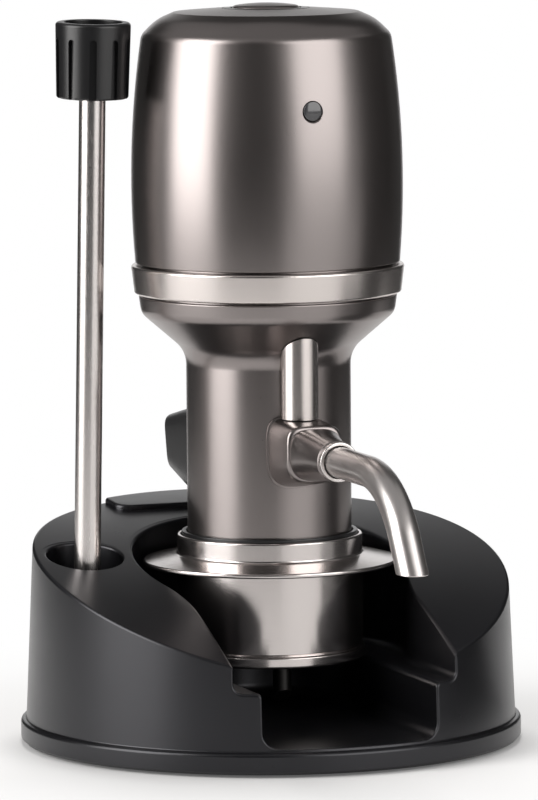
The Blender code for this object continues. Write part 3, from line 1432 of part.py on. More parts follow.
def make_status_light():
    face = head_radius(LENS_HEIGHT) + LENS_PROUD
    profile = [
        (0, face),
        (LENS_RADIUS - LENS_PROUD, face),
        (LENS_RADIUS, face - LENS_PROUD),
        (LENS_RADIUS, face - LENS_HEAD_DEPTH),
        (LENS_STEM_RADIUS, face - LENS_HEAD_DEPTH),
        (LENS_STEM_RADIUS, face - LENS_HEAD_DEPTH - LENS_STEM_LENGTH),
        (0, face - LENS_HEAD_DEPTH - LENS_STEM_LENGTH),
    ]
    face_front(turned("led_lens", profile, "lens_grey", STEPS_TINY * 2), LENS_HEIGHT)
    back = -CONTROL_BOARD_FRONT - GAP
    half = LED_HEIGHT / 2
    wide = LED_WIDTH / 2
    box("status_led", -wide, wide, back - LED_DEPTH, back, LENS_HEIGHT - half, LENS_HEIGHT + half, "lens_grey")


def make_charge_port():
    """The metal socket of the charging port, open to the back, with its tongue."""
    outer = rectangle(
        -PORT_HALF_WIDTH, PORT_HALF_WIDTH, -PORT_HALF_HEIGHT, PORT_HALF_HEIGHT, PORT_HALF_HEIGHT - GAP
    )
    across = PORT_HALF_WIDTH - PORT_SHELL
    up = PORT_HALF_HEIGHT - PORT_SHELL
    inner = rectangle(-across, across, -up, up, up - GAP)
    port = face_back(plate("charge_port", outer, PORT_BACK, PORT_MOUTH, "bare_steel"), PORT_HEIGHT)
    floor = PORT_BACK + PORT_HALF_HEIGHT
    bore = face_back(plate("port_bore", inner, floor, PORT_MOUTH + OVERRUN), PORT_HEIGHT)
    tongue = box(
        "port_tongue",
        -PORT_TONGUE_HALF_WIDTH,
        PORT_TONGUE_HALF_WIDTH,
        PORT_BACK + PORT_SHELL,
        PORT_MOUTH - PORT_HALF_HEIGHT,
        PORT_HEIGHT - PORT_TONGUE_HALF_HEIGHT,
        PORT_HEIGHT + PORT_TONGUE_HALF_HEIGHT,
    )
    cut(port, bore)
    unite(port, tongue)


def make_port_flap():
    """A rubber flap that swings down about its rounded lower edge."""
    half = FLAP_THICKNESS / 2
    middle = FLAP_FACE - half
    hinge = PORT_HEIGHT - FLAP_HALF_HEIGHT + half
    top = PORT_HEIGHT + FLAP_HALF_HEIGHT
    lower = arc((middle, hinge), half, math.pi, math.tau, 6)
    outline = [*lower, (FLAP_FACE, top), (FLAP_FACE - FLAP_THICKNESS, top)]
    flap = lay_across(plate("port_flap", outline, -FLAP_HALF_WIDTH, FLAP_HALF_WIDTH, "black_rubber"))
    shape = flap_shape(0, OVERRUN)
    trim = face_back(plate("flap_trim", shape, PORT_BACK, FLAP_FACE + OVERRUN), PORT_HEIGHT)
    combine(flap, trim, "INTERSECT")
    carry(axis_empty("port_flap_axis", (0, middle, hinge)), flap)


# Aerator: gear pump


def pump_screw_places():
    return [(PUMP_RADIUS * x, PUMP_PLACE_Y + PUMP_RADIUS * y) for x, y in PUMP_SCREW_PLACES_SHARES]


def make_pump_body():
    """A cup with a figure-eight chamber for the gears, an inlet below and an outlet at the front."""
    centre = (0, PUMP_PLACE_Y)
    body = cylinder("pump_body", PUMP_RADIUS, PUMP_FOOT, PUMP_TOP, "grey_plastic", centre, STEPS_HIDDEN)
    floor = PUMP_FOOT + PUMP_FLOOR
    half = GEAR_CENTRES / 2
    for side in (-1, 1):
        place = (side * half, PUMP_PLACE_Y)
        radius = GEAR_TIP_RADIUS + GAP
        top = PUMP_TOP + OVERRUN
        cut(body, cylinder(f"chamber_{side + 2}", radius, floor, top, place=place, steps=STEPS_HIDDEN))
    inlet = (0, PUMP_PLACE_Y + GEAR_ROOT_RADIUS)
    low = PUMP_FOOT - OVERRUN
    cut(body, cylinder("pump_inlet", PORT_RADIUS, low, floor + half, place=inlet, steps=STEPS_TINY))
    start = -PUMP_PLACE_Y + GEAR_ROOT_RADIUS
    outlet = cylinder("pump_outlet", PORT_RADIUS, start, RISER_PLACE, steps=STEPS_TINY)
    cut(body, face_front(outlet, PUMP_OUTLET_HEIGHT))
    foot = PUMP_SCREW_SEAT - PUMP_SCREW_LENGTH - GAP
    for index, place in enumerate(pump_screw_places(), 1):
        radius = PUMP_SCREW_RADIUS + GAP
        pilot = cylinder(f"pump_pilot_{index}", radius, foot, PUMP_TOP + OVERRUN, place=place, steps=STEPS_TINY)
        cut(body, pilot)


def make_pump_cover():
    centre = (0, PUMP_PLACE_Y)
    cover = cylinder(
        "pump_cover", PUMP_RADIUS, PUMP_COVER_FOOT, PUMP_COVER_TOP, "grey_plastic", centre, STEPS_HIDDEN
    )
    low = PUMP_COVER_FOOT - OVERRUN
    high = PUMP_COVER_TOP + OVERRUN
    place = (-GEAR_CENTRES / 2, PUMP_PLACE_Y)
    radius = SHAFT_RADIUS + SLIDE_GAP
    cut(cover, cylinder("cover_shaft_hole", radius, low, high, place=place, steps=STEPS_TINY))
    for index, place in enumerate(pump_screw_places(), 1):
        hole = [
            (0, high),
            (PUMP_SCREW_HEAD_RADIUS + GAP, high),
            (PUMP_SCREW_HEAD_RADIUS + GAP, PUMP_SCREW_SEAT - GAP),
            (PUMP_SCREW_RADIUS + GAP, PUMP_SCREW_SEAT - GAP),
            (PUMP_SCREW_RADIUS + GAP, low),
            (0, low),
        ]
        cutter = turned(f"pump_screw_hole_{index}", hole, steps=STEPS_TINY)
        cutter.location = (*place, 0)
        cut(cover, cutter)


def make_pump_screws():
    foot = PUMP_SCREW_SEAT - PUMP_SCREW_LENGTH
    radius = PUMP_SCREW_RADIUS
    for index, place in enumerate(pump_screw_places(), 1):
        profile = [
            (0, PUMP_COVER_TOP),
            (PUMP_SCREW_HEAD_RADIUS, PUMP_COVER_TOP),
            (PUMP_SCREW_HEAD_RADIUS, PUMP_SCREW_SEAT),
            (radius, PUMP_SCREW_SEAT),
            (radius, foot),
            (0, foot),
        ]
        screw = turned(f"pump_screw_{index}", profile, "bare_steel", STEPS_TINY)
        screw.location = (*place, 0)


def gear_outline(turn):
    """Ten straight-flanked teeth, turned by a share of one tooth pitch."""
    pitch = math.tau / GEAR_TEETH
    points = []
    for tooth in range(GEAR_TEETH):
        middle = (tooth + turn) * pitch
        for radius, share in (
            (GEAR_ROOT_RADIUS, -GEAR_ROOT_SHARE),
            (GEAR_TIP_RADIUS, -GEAR_TIP_SHARE),
            (GEAR_TIP_RADIUS, GEAR_TIP_SHARE),
            (GEAR_ROOT_RADIUS, GEAR_ROOT_SHARE),
        ):
            angle = middle + share * pitch / 2
            points.append((radius * math.cos(angle), radius * math.sin(angle)))
    return points


def make_pump_gears():
    """The driven gear on the motor's shaft, and the idler on its fixed pin."""
    half = GEAR_CENTRES / 2
    drive = plate("drive_gear", gear_outline(0), GEAR_FOOT, GEAR_TOP, "bare_steel")
    middle = (GEAR_FOOT + GEAR_TOP) / 2
    unite(drive, cylinder("drive_shaft", SHAFT_RADIUS, middle, SHAFT_TOP, steps=STEPS_TINY))
    drive_axis = axis_empty("drive_gear_axis", (-half, PUMP_PLACE_Y, GEAR_FOOT))
    drive.location.x = -half
    drive.location.y = PUMP_PLACE_Y
    shaft = bpy.data.objects["drive_shaft"]
    shaft.location = (-half, PUMP_PLACE_Y, 0)
    carry(drive_axis, drive, shaft)
    bore = circle(IDLER_BORE_RADIUS, STEPS_TINY)
    idler = plate("idler_gear", gear_outline(1 / 2), GEAR_FOOT, GEAR_TOP, "bare_steel", [bore])
    idler.location.x = half
    idler.location.y = PUMP_PLACE_Y
    carry(axis_empty("idler_gear_axis", (half, PUMP_PLACE_Y, GEAR_FOOT)), idler)
    place = (half, PUMP_PLACE_Y)
    pin_foot = PUMP_FOOT + PUMP_FLOOR + GAP
    cylinder("idler_pin", SHAFT_RADIUS, pin_foot, PUMP_TOP, "bare_steel", place, STEPS_TINY)


def make_outlet_seal():
    """A silicone sleeve from the pump's outlet through the neck wall to the riser."""
    start = -PUMP_PLACE_Y + PUMP_RADIUS + GAP
    end = NECK_RADIUS
    inner = PORT_RADIUS / 2
    profile = [(inner, end), (PORT_RADIUS, end), (PORT_RADIUS, start), (inner, start)]
    seal = turned("outlet_seal", profile, "clear_silicone", STEPS_TINY, closed=True)
    face_front(seal, PUMP_OUTLET_HEIGHT)


# Aerator: bottle connection


def make_inlet_spigot():
    """The plate that closes the neck, with the spigot that the suction tube's cap grips."""
    outer = NECK_RADIUS - NECK_WALL - GAP
    plate_top = SPIGOT_PLATE_FOOT + SPIGOT_PLATE_THICKNESS
    hub_top = PUMP_FOOT - GAP
    lead = SPIGOT_GALLERY_DEPTH
    profile = [
        (SPIGOT_GALLERY_RADIUS, hub_top),
        (SPIGOT_HUB_RADIUS, hub_top),
        (SPIGOT_HUB_RADIUS, plate_top),
        (outer, plate_top),
        (outer, SPIGOT_PLATE_FOOT),
        (SPIGOT_NOSE_RADIUS, SPIGOT_PLATE_FOOT),
        (SPIGOT_NOSE_RADIUS, SPIGOT_NOSE_FOOT + lead),
        (SPIGOT_NOSE_RADIUS - lead, SPIGOT_NOSE_FOOT),
        (SPIGOT_BORE_RADIUS, SPIGOT_NOSE_FOOT),
        (SPIGOT_BORE_RADIUS, hub_top - SPIGOT_GALLERY_DEPTH),
        (SPIGOT_GALLERY_RADIUS, hub_top - SPIGOT_GALLERY_DEPTH),
    ]
    turned("inlet_spigot", profile, "grey_plastic", STEPS_HIDDEN, closed=True)


def make_bottle_seals():
    top = SPIGOT_PLATE_FOOT - GAP
    foot = top - GASKET_THICKNESS
    lip = GASKET_THICKNESS / 3
    gasket = [
        (GASKET_INNER_RADIUS, top),
        (GASKET_OUTER_RADIUS, top),
        (GASKET_OUTER_RADIUS, foot),
        (GASKET_OUTER_RADIUS - lip, foot),
        (GASKET_INNER_RADIUS + lip, foot + lip),
        (GASKET_INNER_RADIUS, foot),
    ]
    turned("bottle_gasket", gasket, "clear_silicone", STEPS_HIDDEN, closed=True)
    outer = NECK_RADIUS - NECK_WALL - GAP
    bore = outer - GUIDE_WALL
    head = GUIDE_FOOT + GUIDE_HEIGHT
    guide = [
        (bore, head),
        (outer, head),
        (outer, GUIDE_FOOT),
        (bore + lip, GUIDE_FOOT),
        (bore, GUIDE_FOOT + lip),
    ]
    turned("bottle_guide", guide, "black_rubber", STEPS_HIDDEN, closed=True)


# Aerator: spout


def boss_section(distance, half_width, half_height, squareness, drop=0):
    outline = squircle(half_width, half_height, squareness, BOSS_POINTS)
    return [(x, -distance, SPOUT_HEIGHT - drop + z) for x, z in outline]


def boss_solid(name, grow, finish=None):
    """A rounded-square block that runs into a round cone, grown by a clearance."""
    square = BOSS_SQUARENESS_SHARE
    wide = BOSS_ROOT_HALF_WIDTH + grow
    high = BOSS_ROOT_HALF_HEIGHT + grow
    sections = [
        boss_section(BOSS_ROOT, wide, high, square, BOSS_ROOT_DROP),
        boss_section(BOSS_EDGE, BOSS_EDGE_HALF_WIDTH + grow, BOSS_EDGE_HALF_HEIGHT + grow, square),
    ]
    for way, size, squareness in BOSS_CONE_SHARES:
        distance = BOSS_EDGE + BOSS_CONE_LENGTH * way
        wide = BOSS_EDGE_HALF_WIDTH + (BOSS_MOUTH_RADIUS - BOSS_EDGE_HALF_WIDTH) * size + grow
        high = BOSS_EDGE_HALF_HEIGHT + (BOSS_MOUTH_RADIUS - BOSS_EDGE_HALF_HEIGHT) * size + grow
        sections.append(boss_section(distance, wide, high, squareness))
    return lofted(name, sections, finish)


def make_spout_boss():
    boss = boss_solid("spout_boss", 0, "gunmetal")
    trim = cylinder("boss_trim", NECK_RADIUS + GAP, NECK_FOOT, RISER_BORE_TOP, steps=STEPS_MEDIUM)
    bore = cylinder("boss_bore", SPOUT_RADIUS + GAP, BOSS_TUBE_STOP - GAP, BOSS_MOUTH + OVERRUN)
    passage = cylinder("boss_passage", RISER_BORE_RADIUS, RISER_BORE_PLACE, BOSS_MOUTH, steps=STEPS_TINY)
    top = SPOUT_HEIGHT + BOSS_ROOT_HALF_HEIGHT + OVERRUN
    drop = cylinder(
        "boss_drop", RISER_BORE_RADIUS, SPOUT_HEIGHT, top, place=(0, -RISER_BORE_PLACE), steps=STEPS_TINY
    )
    cut(boss, trim, face_front(bore, SPOUT_HEIGHT), face_front(passage, SPOUT_HEIGHT), drop)


def make_riser():
    """The half-round pipe on the front of the neck that brings wine down to the spout."""
    centre = (0, -RISER_PLACE)
    low = SPOUT_HEIGHT
    riser = cylinder("riser_pipe", RISER_RADIUS, low, RISER_TOP, "satin_nickel", centre, STEPS_SMALL)
    bore = cylinder(
        "riser_bore", RISER_BORE_RADIUS, low, RISER_BORE_TOP, place=(0, -RISER_BORE_PLACE), steps=STEPS_TINY
    )
    inlet = cylinder("riser_inlet", PORT_RADIUS, NECK_RADIUS, RISER_BORE_PLACE, steps=STEPS_TINY)
    cut(riser, housing_solid("riser_trim", GAP), boss_solid("riser_foot_trim", GAP))
    cut(riser, bore, face_front(inlet, PUMP_OUTLET_HEIGHT))


def make_spout_nut():
    low = BOSS_MOUTH + GAP
    high = low + NUT_WIDTH
    bore = SPOUT_RADIUS + GAP
    outer = bore + NUT_WALL
    edge = NUT_WALL / 3
    profile = [
        (bore, high),
        (outer - edge, high),
        (outer, high - edge),
        (outer, low),
        (bore, low),
    ]
    face_front(turned("spout_nut", profile, "brushed_steel", STEPS_SMALL, closed=True), SPOUT_HEIGHT)


def spout_route(start, extra):
    """The spout's centre line: level, then a bend, then straight down at a slant."""
    points = [(0, -start, SPOUT_HEIGHT)]
    low = SPOUT_HEIGHT - SPOUT_BEND_RADIUS
    for step in range(SPOUT_BEND_STEPS + 1):
        angle = SPOUT_BEND_ANGLE * step / SPOUT_BEND_STEPS
        reach = SPOUT_BEND_START + SPOUT_BEND_RADIUS * math.sin(angle)
        points.append((0, -reach, low + SPOUT_BEND_RADIUS * math.cos(angle)))
    last = Vector(points[-1])
    fall = (last.z - SPOUT_TIP_HEIGHT) / math.sin(SPOUT_BEND_ANGLE) + extra
    along = Vector((0, -math.cos(SPOUT_BEND_ANGLE), -math.sin(SPOUT_BEND_ANGLE)))
    points.append(tuple(last + along * fall))
    return points


def make_spout_tube():
    """The bent steel tube, bored through and cut level at its tip."""
    longer = SPOUT_RADIUS * 2
    spout = tube(
        "spout_tube", spout_route(BOSS_TUBE_STOP, longer), SPOUT_RADIUS, "brushed_steel", SPOUT_BEVEL_RESOLUTION
    )
    bore_route = spout_route(BOSS_TUBE_STOP - OVERRUN, longer + OVERRUN)
    bore = tube("spout_bore", bore_route, SPOUT_RADIUS - SPOUT_WALL, resolution=SPOUT_BEVEL_RESOLUTION // 2)
    tip = SPOUT_BEND_START + 2 * SPOUT_BEND_RADIUS
    level = box("tip_cut", -longer, longer, -tip, -SPOUT_BEND_START, 0, SPOUT_TIP_HEIGHT)
    cut(spout, bore, level)


# Aerator: lock lever


def lever_section(distance, share, slant):
    """A rounded-square section of the lever; its upper part reaches further by slant."""
    top = LEVER_ROOT_TOP + (LEVER_TIP_TOP - LEVER_ROOT_TOP) * share
    foot = LEVER_ROOT_FOOT + (LEVER_TIP_FOOT - LEVER_ROOT_FOOT) * share
    wide = LEVER_HALF_WIDTH + (LEVER_TIP_HALF_WIDTH - LEVER_HALF_WIDTH) * share
    middle = (top + foot) / 2
    half = (top - foot) / 2
    outline = squircle(wide, half, LEVER_SQUARENESS_SHARE, LEVER_POINTS)
    return [(x, distance - slant * (1 - z / half) / 2, middle + z) for x, z in outline]


def lever_solid():
    edge = LEVER_TIP_SLANT / 2
    near_tip = (LEVER_LENGTH - edge) / LEVER_LENGTH
    sections = [lever_section(LEVER_ROOT, 0, 0), lever_section(LEVER_TIP - edge, near_tip, LEVER_TIP_SLANT)]
    cap = lever_section(LEVER_TIP, 1, LEVER_TIP_SLANT)
    middle = (LEVER_TIP_TOP + LEVER_TIP_FOOT) / 2
    shrink = 1 - edge / (LEVER_TIP_TOP - middle)
    sections.append([(x * shrink, y, middle + (z - middle) * shrink) for x, y, z in cap])
    return lofted("lock_lever", sections, "black_plastic")


def lever_pocket(name, start, end):
    """The space under the lever's roof from start to end, open below."""
    fall = (LEVER_ROOT_TOP - LEVER_TIP_TOP) / LEVER_LENGTH
    roof = LEVER_ROOT_TOP - LEVER_ROOF
    low = LEVER_ROOT_FOOT - OVERRUN
    outline = [
        (start, low),
        (end, low),
        (end, roof - (end - LEVER_ROOT) * fall),
        (start, roof - (start - LEVER_ROOT) * fall),
    ]
    return lay_across(plate(name, outline, -LEVER_POCKET_HALF_WIDTH, LEVER_POCKET_HALF_WIDTH))


def make_lock_lever():
    """A hollow thumb lever with a pawl that reaches through the neck to the bottle's lip."""
    lever = lever_solid()
    web_back = LEVER_WEB + LEVER_WEB_THICKNESS
    inner_pocket = lever_pocket("lever_inner_pocket", LEVER_ROOT - OVERRUN, LEVER_WEB)
    outer_pocket = lever_pocket("lever_outer_pocket", web_back, LEVER_POCKET_END)
    middle = (LEVER_WEB + web_back) / 2
    wide = PAWL_HALF_WIDTH
    pawl = box("pawl", -wide, wide, PAWL_TIP, middle, PAWL_FOOT, PAWL_TOP)
    reach = LEVER_HALF_WIDTH + OVERRUN
    pin_hole = lay_across(cylinder("lever_pin_hole", PIN_RADIUS + GAP, -reach, reach, steps=STEPS_TINY))
    pin_hole.matrix_world = Matrix.Translation((0, LEVER_PIVOT_Y, LEVER_PIVOT_HEIGHT)) @ pin_hole.matrix_world
    cut(lever, inner_pocket, outer_pocket, pin_hole)
    unite(lever, pawl)
    carry(axis_empty("lock_lever_axis", (0, LEVER_PIVOT_Y, LEVER_PIVOT_HEIGHT)), lever)


def make_lever_bracket():
    """The saddle on the back of the neck, with two ears for the lever's pin."""
    wide = BRACKET_PLATE_HALF_WIDTH
    inner = NECK_RADIUS - NECK_WALL
    bracket = box(
        "lever_bracket", -wide, wide, inner, BRACKET_PLATE_BACK, BRACKET_FOOT, BRACKET_HEAD, "black_plastic"
    )
    ears = []
    for side in (-1, 1):
        low, high = sorted((side * BRACKET_EAR_INNER, side * BRACKET_EAR_OUTER))
        ear = rounded(
            (
                (BRACKET_PLATE_BACK - OVERRUN / 2, BRACKET_FOOT, 0),
                (LEVER_PIVOT_Y + BRACKET_EAR_RADIUS, LEVER_PIVOT_HEIGHT - BRACKET_EAR_RADIUS, BRACKET_EAR_RADIUS),
                (LEVER_PIVOT_Y + BRACKET_EAR_RADIUS, LEVER_PIVOT_HEIGHT + BRACKET_EAR_RADIUS, BRACKET_EAR_RADIUS),
                (BRACKET_PLATE_BACK - OVERRUN / 2, LEVER_PIVOT_HEIGHT + BRACKET_EAR_RADIUS, 0),
            )
        )
        ears.append(lay_across(plate(f"bracket_ear_{side + 2}", ear, low, high)))
    unite(bracket, *ears)
    reach = BRACKET_EAR_OUTER + OVERRUN
    hole = lay_across(cylinder("bracket_pin_hole", PIN_RADIUS + GAP, -reach, reach, steps=STEPS_TINY))
    hole.matrix_world = Matrix.Translation((0, LEVER_PIVOT_Y, LEVER_PIVOT_HEIGHT)) @ hole.matrix_world
    neck = cylinder("bracket_trim", NECK_RADIUS + GAP, NECK_FOOT, FLARE_FOOT_HEIGHT, steps=STEPS_MEDIUM)
    cut(bracket, hole, neck)
    half = LEVER_HALF_WIDTH - LEVER_POCKET_HALF_WIDTH
    pin_half = LEVER_POCKET_HALF_WIDTH + half / 2
    pin = lay_across(cylinder("lever_pin", PIN_RADIUS, -pin_half, pin_half, "bare_steel", steps=STEPS_TINY))
    pin.matrix_world = Matrix.Translation((0, LEVER_PIVOT_Y, LEVER_PIVOT_HEIGHT)) @ pin.matrix_world


def make_lever_spring():
    """A torsion spring round the pin, one leg on the bracket and one on the pawl's arm."""
    length = LEVER_SPRING_HALF_LENGTH * 2
    coil = helix(LEVER_SPRING_RADIUS, LEVER_SPRING_TURNS, length, SPRING_STEPS)
    route = []
    for across, up, along in coil:
        route.append((along - LEVER_SPRING_HALF_LENGTH, LEVER_PIVOT_Y + across, LEVER_PIVOT_HEIGHT + up))
    leg_foot = PAWL_TOP + GAP + LEVER_SPRING_WIRE_RADIUS
    start = (route[0][0], LEVER_PIVOT_Y + LEVER_SPRING_RADIUS, leg_foot + LEVER_SPRING_RADIUS)
    tip = (route[0][0], LEVER_PIVOT_Y + 2 * LEVER_SPRING_RADIUS, leg_foot)
    rest = (route[-1][0], LEVER_PIVOT_Y + LEVER_SPRING_RADIUS, LEVER_PIVOT_HEIGHT + LEVER_SPRING_RADIUS)
    tube("lever_spring", [tip, start, *route, rest], LEVER_SPRING_WIRE_RADIUS, "bare_steel", 1)


def make_aerator():
    make_neck_housing()
    make_trim_band()
    make_head_shell()
    make_button_ring()
    make_power_button()
    make_switch()
    make_button_spring()
    make_inner_frame()
    make_motor()
    make_battery()
    make_boards()
    make_status_light()
    make_charge_port()
    make_port_flap()
    make_pump_body()
    make_pump_cover()
    make_pump_screws()
    make_pump_gears()
    make_outlet_seal()
    make_inlet_spigot()
    make_bottle_seals()
    make_spout_boss()
    make_riser()
    make_spout_nut()
    make_spout_tube()
    make_lever_bracket()
    make_lock_lever()
    make_lever_spring()


make_stand_body()
make_stand_underside()
make_tube_group()
make_drip_cup()
make_cup_insert()
make_aerator()
bpy.context.view_layer.update()
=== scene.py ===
import math

import bmesh
import bpy
from mathutils import Matrix, Vector


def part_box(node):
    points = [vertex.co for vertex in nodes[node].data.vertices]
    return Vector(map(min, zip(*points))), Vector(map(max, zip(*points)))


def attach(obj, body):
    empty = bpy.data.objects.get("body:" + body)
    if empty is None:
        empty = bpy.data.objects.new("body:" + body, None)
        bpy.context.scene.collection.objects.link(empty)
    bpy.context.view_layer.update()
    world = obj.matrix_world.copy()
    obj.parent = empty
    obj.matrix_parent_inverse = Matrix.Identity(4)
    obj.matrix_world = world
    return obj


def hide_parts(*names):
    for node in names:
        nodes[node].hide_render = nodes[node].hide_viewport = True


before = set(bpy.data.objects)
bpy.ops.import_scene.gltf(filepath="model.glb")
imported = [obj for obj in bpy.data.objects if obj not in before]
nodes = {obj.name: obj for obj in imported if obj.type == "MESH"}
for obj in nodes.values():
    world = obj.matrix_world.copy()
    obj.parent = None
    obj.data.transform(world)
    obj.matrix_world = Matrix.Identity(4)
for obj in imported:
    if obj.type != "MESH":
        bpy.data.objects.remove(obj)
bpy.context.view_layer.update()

# How finely the round forms are made, and small clearances
ROUND_STEPS = 160
CAP_STEPS = 144
LINER_STEPS = 128
BUTTON_STEPS = 96
BOSS_STEPS = 96
LEVER_STEPS = 88
SMALL_ROUND_STEPS = 72
DRAIN_STEPS = 48
PIN_STEPS = 32
COIL_STEPS = 28
WIRE_STEPS = 10
FILLET_STEPS = 5
GAP = 0.0003
RUN_PAST = 0.004
WELD = 0.000004

# Edge radii that several pieces share
CRISP_EDGE = 0.0001
FINE_EDGE = 0.0002
SOFT_EDGE = 0.0003
ROUND_EDGE = 0.0004
FULL_EDGE = 0.0007

# Stand
STAND_RADIUS = 0.0660
STAND_DRAFT = 0.045
FLANGE_RADIUS = 0.0675
FLANGE_HEIGHT = 0.0065
FLANGE_ROUNDING = 0.0010
STAND_LIFT = 0.0008
TOP_FRONT_HEIGHT = 0.0250
TOP_MIDDLE_HEIGHT = 0.0491
TOP_BACK_HEIGHT = 0.0594
LEDGE_HEIGHT = 0.0220
GUTTER_HEIGHT = 0.0074
WELL_RADIUS = 0.0370
WELL_STEPS = 96
WELL_BLEND_RADIUS = 0.0450
CHANNEL_HALF_WIDTH = 0.0310
GUTTER_HALF_WIDTH = 0.0243
LEDGE_FILLET = 0.0022
GUTTER_FILLET = 0.0040
EDGE_ROUNDING = 0.0009
MOUTH_ROUNDING = 0.0014
MOUTH_BACK = -0.0320
MOUTH_FRONT = -0.0560
GUTTER_ROUNDING = 0.0013
CHANNEL_END = -0.0760
CHANNEL_STEPS = 12
TOP_SHARES = (0.80, 0.68, 0.56, 0.44, 0.32, 0.20, 0.08)
FLARE_ANGLE = math.radians(78)
FLARE_REACH = 1.9
FLARE_RISE = 0.18
CLEAR_ABOVE = 0.03
MOUTH_EDGE = 0.0009
LIP_EDGE = 0.0005
MOUTH_DEPTH = MOUTH_EDGE * 1.8
MOUTH_SLACK = 0.00015
MOUTH_INSIDE = -0.0500
WALL_FILLET = 0.00045
TUBE_PLACE = Vector((-0.049679, 0.008492, 0.0165))
TUBE_HOLE_RADIUS = 0.0103
TUBE_HOLE_ROUNDING = EDGE_ROUNDING * 0.8
TUBE_HOLE_FLOOR = 0.0240
TUBE_SOCKET_RADIUS = 0.0041
TUBE_SOCKET_FLOOR = 0.0090
PAD_HALF_WIDTH = 0.0276
PAD_FRONT = 0.0458
PAD_CORNER = 0.0042
PAD_HEIGHT = 0.0015
PAD_INSET = 0.0008
PAD_SINK = 0.0015
PAD_SHARES = (0.80, 0.55, 0.30, 0.08)

# Suction tube and its cap, in the tube's own leaning frame
TUBE_LEAN = (math.radians(2.03), math.radians(0.57))
TUBE_RADIUS = 0.00355
TUBE_BORE = 0.00295
TUBE_FOOT = -0.0072
TUBE_HEAD = 0.1628
TUBE_COLLAR_RADIUS = 0.0066
TUBE_COLLAR_HEIGHT = 0.0016
CAP_FOOT = 0.1579
CAP_HEIGHT = 0.0202
CAP_FLOOR = 0.0030
CAP_BORE = 0.00775
CAP_TOP_RADIUS = 0.01005
CAP_FOOT_RADIUS = 0.0096
FLUTE_COUNT = 10
FLUTE_HALF_WIDTH = 0.00095
FLUTE_DEPTH = 0.0009
FLUTE_HEIGHT = 0.01610
CAP_TOP_EDGE = 0.0009
CAP_SOFT_EDGE = 0.00032

# Drip cup and its insert
CUP_FOOT = 0.0223
CUP_TOP = 0.0560
CUP_RADIUS = 0.0249
CUP_BORE = 0.0240
CUP_WALL = 0.0009
SAUCER_RADIUS = 0.0341
SAUCER_ROOT = 0.0507
SAUCER_RIM = 0.0490
CUP_GROOVE = 0.0256
CUP_BEAD_RADIUS = 0.0255
DRAIN_PLACE_Y = -0.0090
DRAIN_RADIUS = 0.0025
DRAIN_BORE = 0.0015
DRAIN_FOOT = 0.0113
DRAIN_OVERLAP = 0.0004
DRAIN_CUT = (0.005, 0.030)
DRAIN_SLANT = -math.pi / 5
CUP_FLOOR_FILLET = 0.0015
CUP_LIP_EDGE = 0.00055
CUP_BEAD_EDGE = 0.0008
SAUCER_EDGE = 0.0012
SAUCER_RIM_EDGE = 0.0005
GROOVE_DEPTH = 0.0005
GROOVE_HALF_HEIGHT = 0.00045
GROOVE_EDGE = 0.00015
LINER_TOP = CUP_TOP + 0.0009
LINER_PLAY = 0.0004
LINER_SEAT_WIDTH = 0.0026

# Aerator
NECK_RADIUS = 0.0221
NECK_WALL = 0.0016
NECK_FOOT = 0.0460
NECK_ROW = 0.0560
FLARE_FOOT = 0.1054
FLARE_TOP = 0.1157
FLARE_TOP_RADIUS = 0.0340
FLARE_RIM_RADIUS = 0.0347
BAND_FOOT = 0.1210
BAND_TOP = 0.1287
BAND_FOOT_RADIUS = 0.0358
BAND_TOP_RADIUS = 0.0367
FLARE_FILLETS = (0, 0.0040, 0.0080, 0)
SEAM = 0.0005
JOINT_RADIUS = 0.0334
JOINT_TOP = 0.1340
PAWL_SLOT_HALF_WIDTH = 0.0036
PAWL_SLOT_DEPTH = (0.0165, 0.0261)
PAWL_SLOT_HEIGHT = (0.0630, 0.0712)
HEAD_FOOT = 0.1292
HEAD_WAIST = 0.1509
HEAD_RADIUS = 0.0364
HEAD_BARREL = 0.2600
HEAD_WALL = 0.0018
HEAD_SHOULDER = 0.1902
HEAD_SIDE_STEPS = 14
HEAD_OPENING_EDGE = 0.00015
SHOULDER_FILLET = 0.0036
KNEE_RADIUS = 0.0294
KNEE_HEIGHT = 0.1942
KNEE_FILLET = 0.0130
CROWN_EDGE_RADIUS = 0.0249
CROWN_EDGE_HEIGHT = 0.19615
CROWN_EDGE_FILLET = 0.0012
CROWN_SLOPE = 0.08
BUTTON_RADIUS = 0.0092
BUTTON_DOME = 0.0550
BUTTON_DOME_REACH = 0.0078
BUTTON_EDGE = 0.0013
BUTTON_SKIRT_TOP = 0.0027
RING_BORE = 0.0096
RING_RADIUS = 0.0115
RING_TOP_EDGE = 0.00025
RING_STEP = 0.0010
RING_SEAT_REACH = 0.0016
LENS_HEIGHT = 0.1716
LENS_RADIUS = 0.00255
LENS_DOME = ((0, 0), (0.45, 0.00003), (0.75, 0.00012))
LENS_CHAMFER_DEPTH = 0.0003
LENS_CHAMFER_REACH = 0.0006
LENS_PROUD = 0.0003
LENS_FLANGE = 0.0022
LENS_STEM = 0.0052
LENS_STEM_RADIUS = 0.0016
HEAD_INSIDE = 0.0300
HEAD_OUTSIDE = 0.0410
PORT_HEIGHT = 0.1500
PORT_BLOCK_HALF_WIDTH = 0.0085
PORT_BLOCK_DEPTH = (0.0323, 0.0356)
PORT_BLOCK_HEIGHT = (0.1440, 0.1560)
PORT_MOUTH_HALF_WIDTH = 0.0048
PORT_MOUTH_HALF_HEIGHT = 0.0019
PORT_MOUTH_CORNER = 0.0018
FLAP_FACE = 0.0361
FLAP_HALF_THICKNESS = 0.00075
FLAP_HALF_WIDTH = 0.0060
FLAP_HALF_HEIGHT = 0.00375
FLAP_CORNER = 0.0012
FLAP_SOFT_EDGE = 0.00018

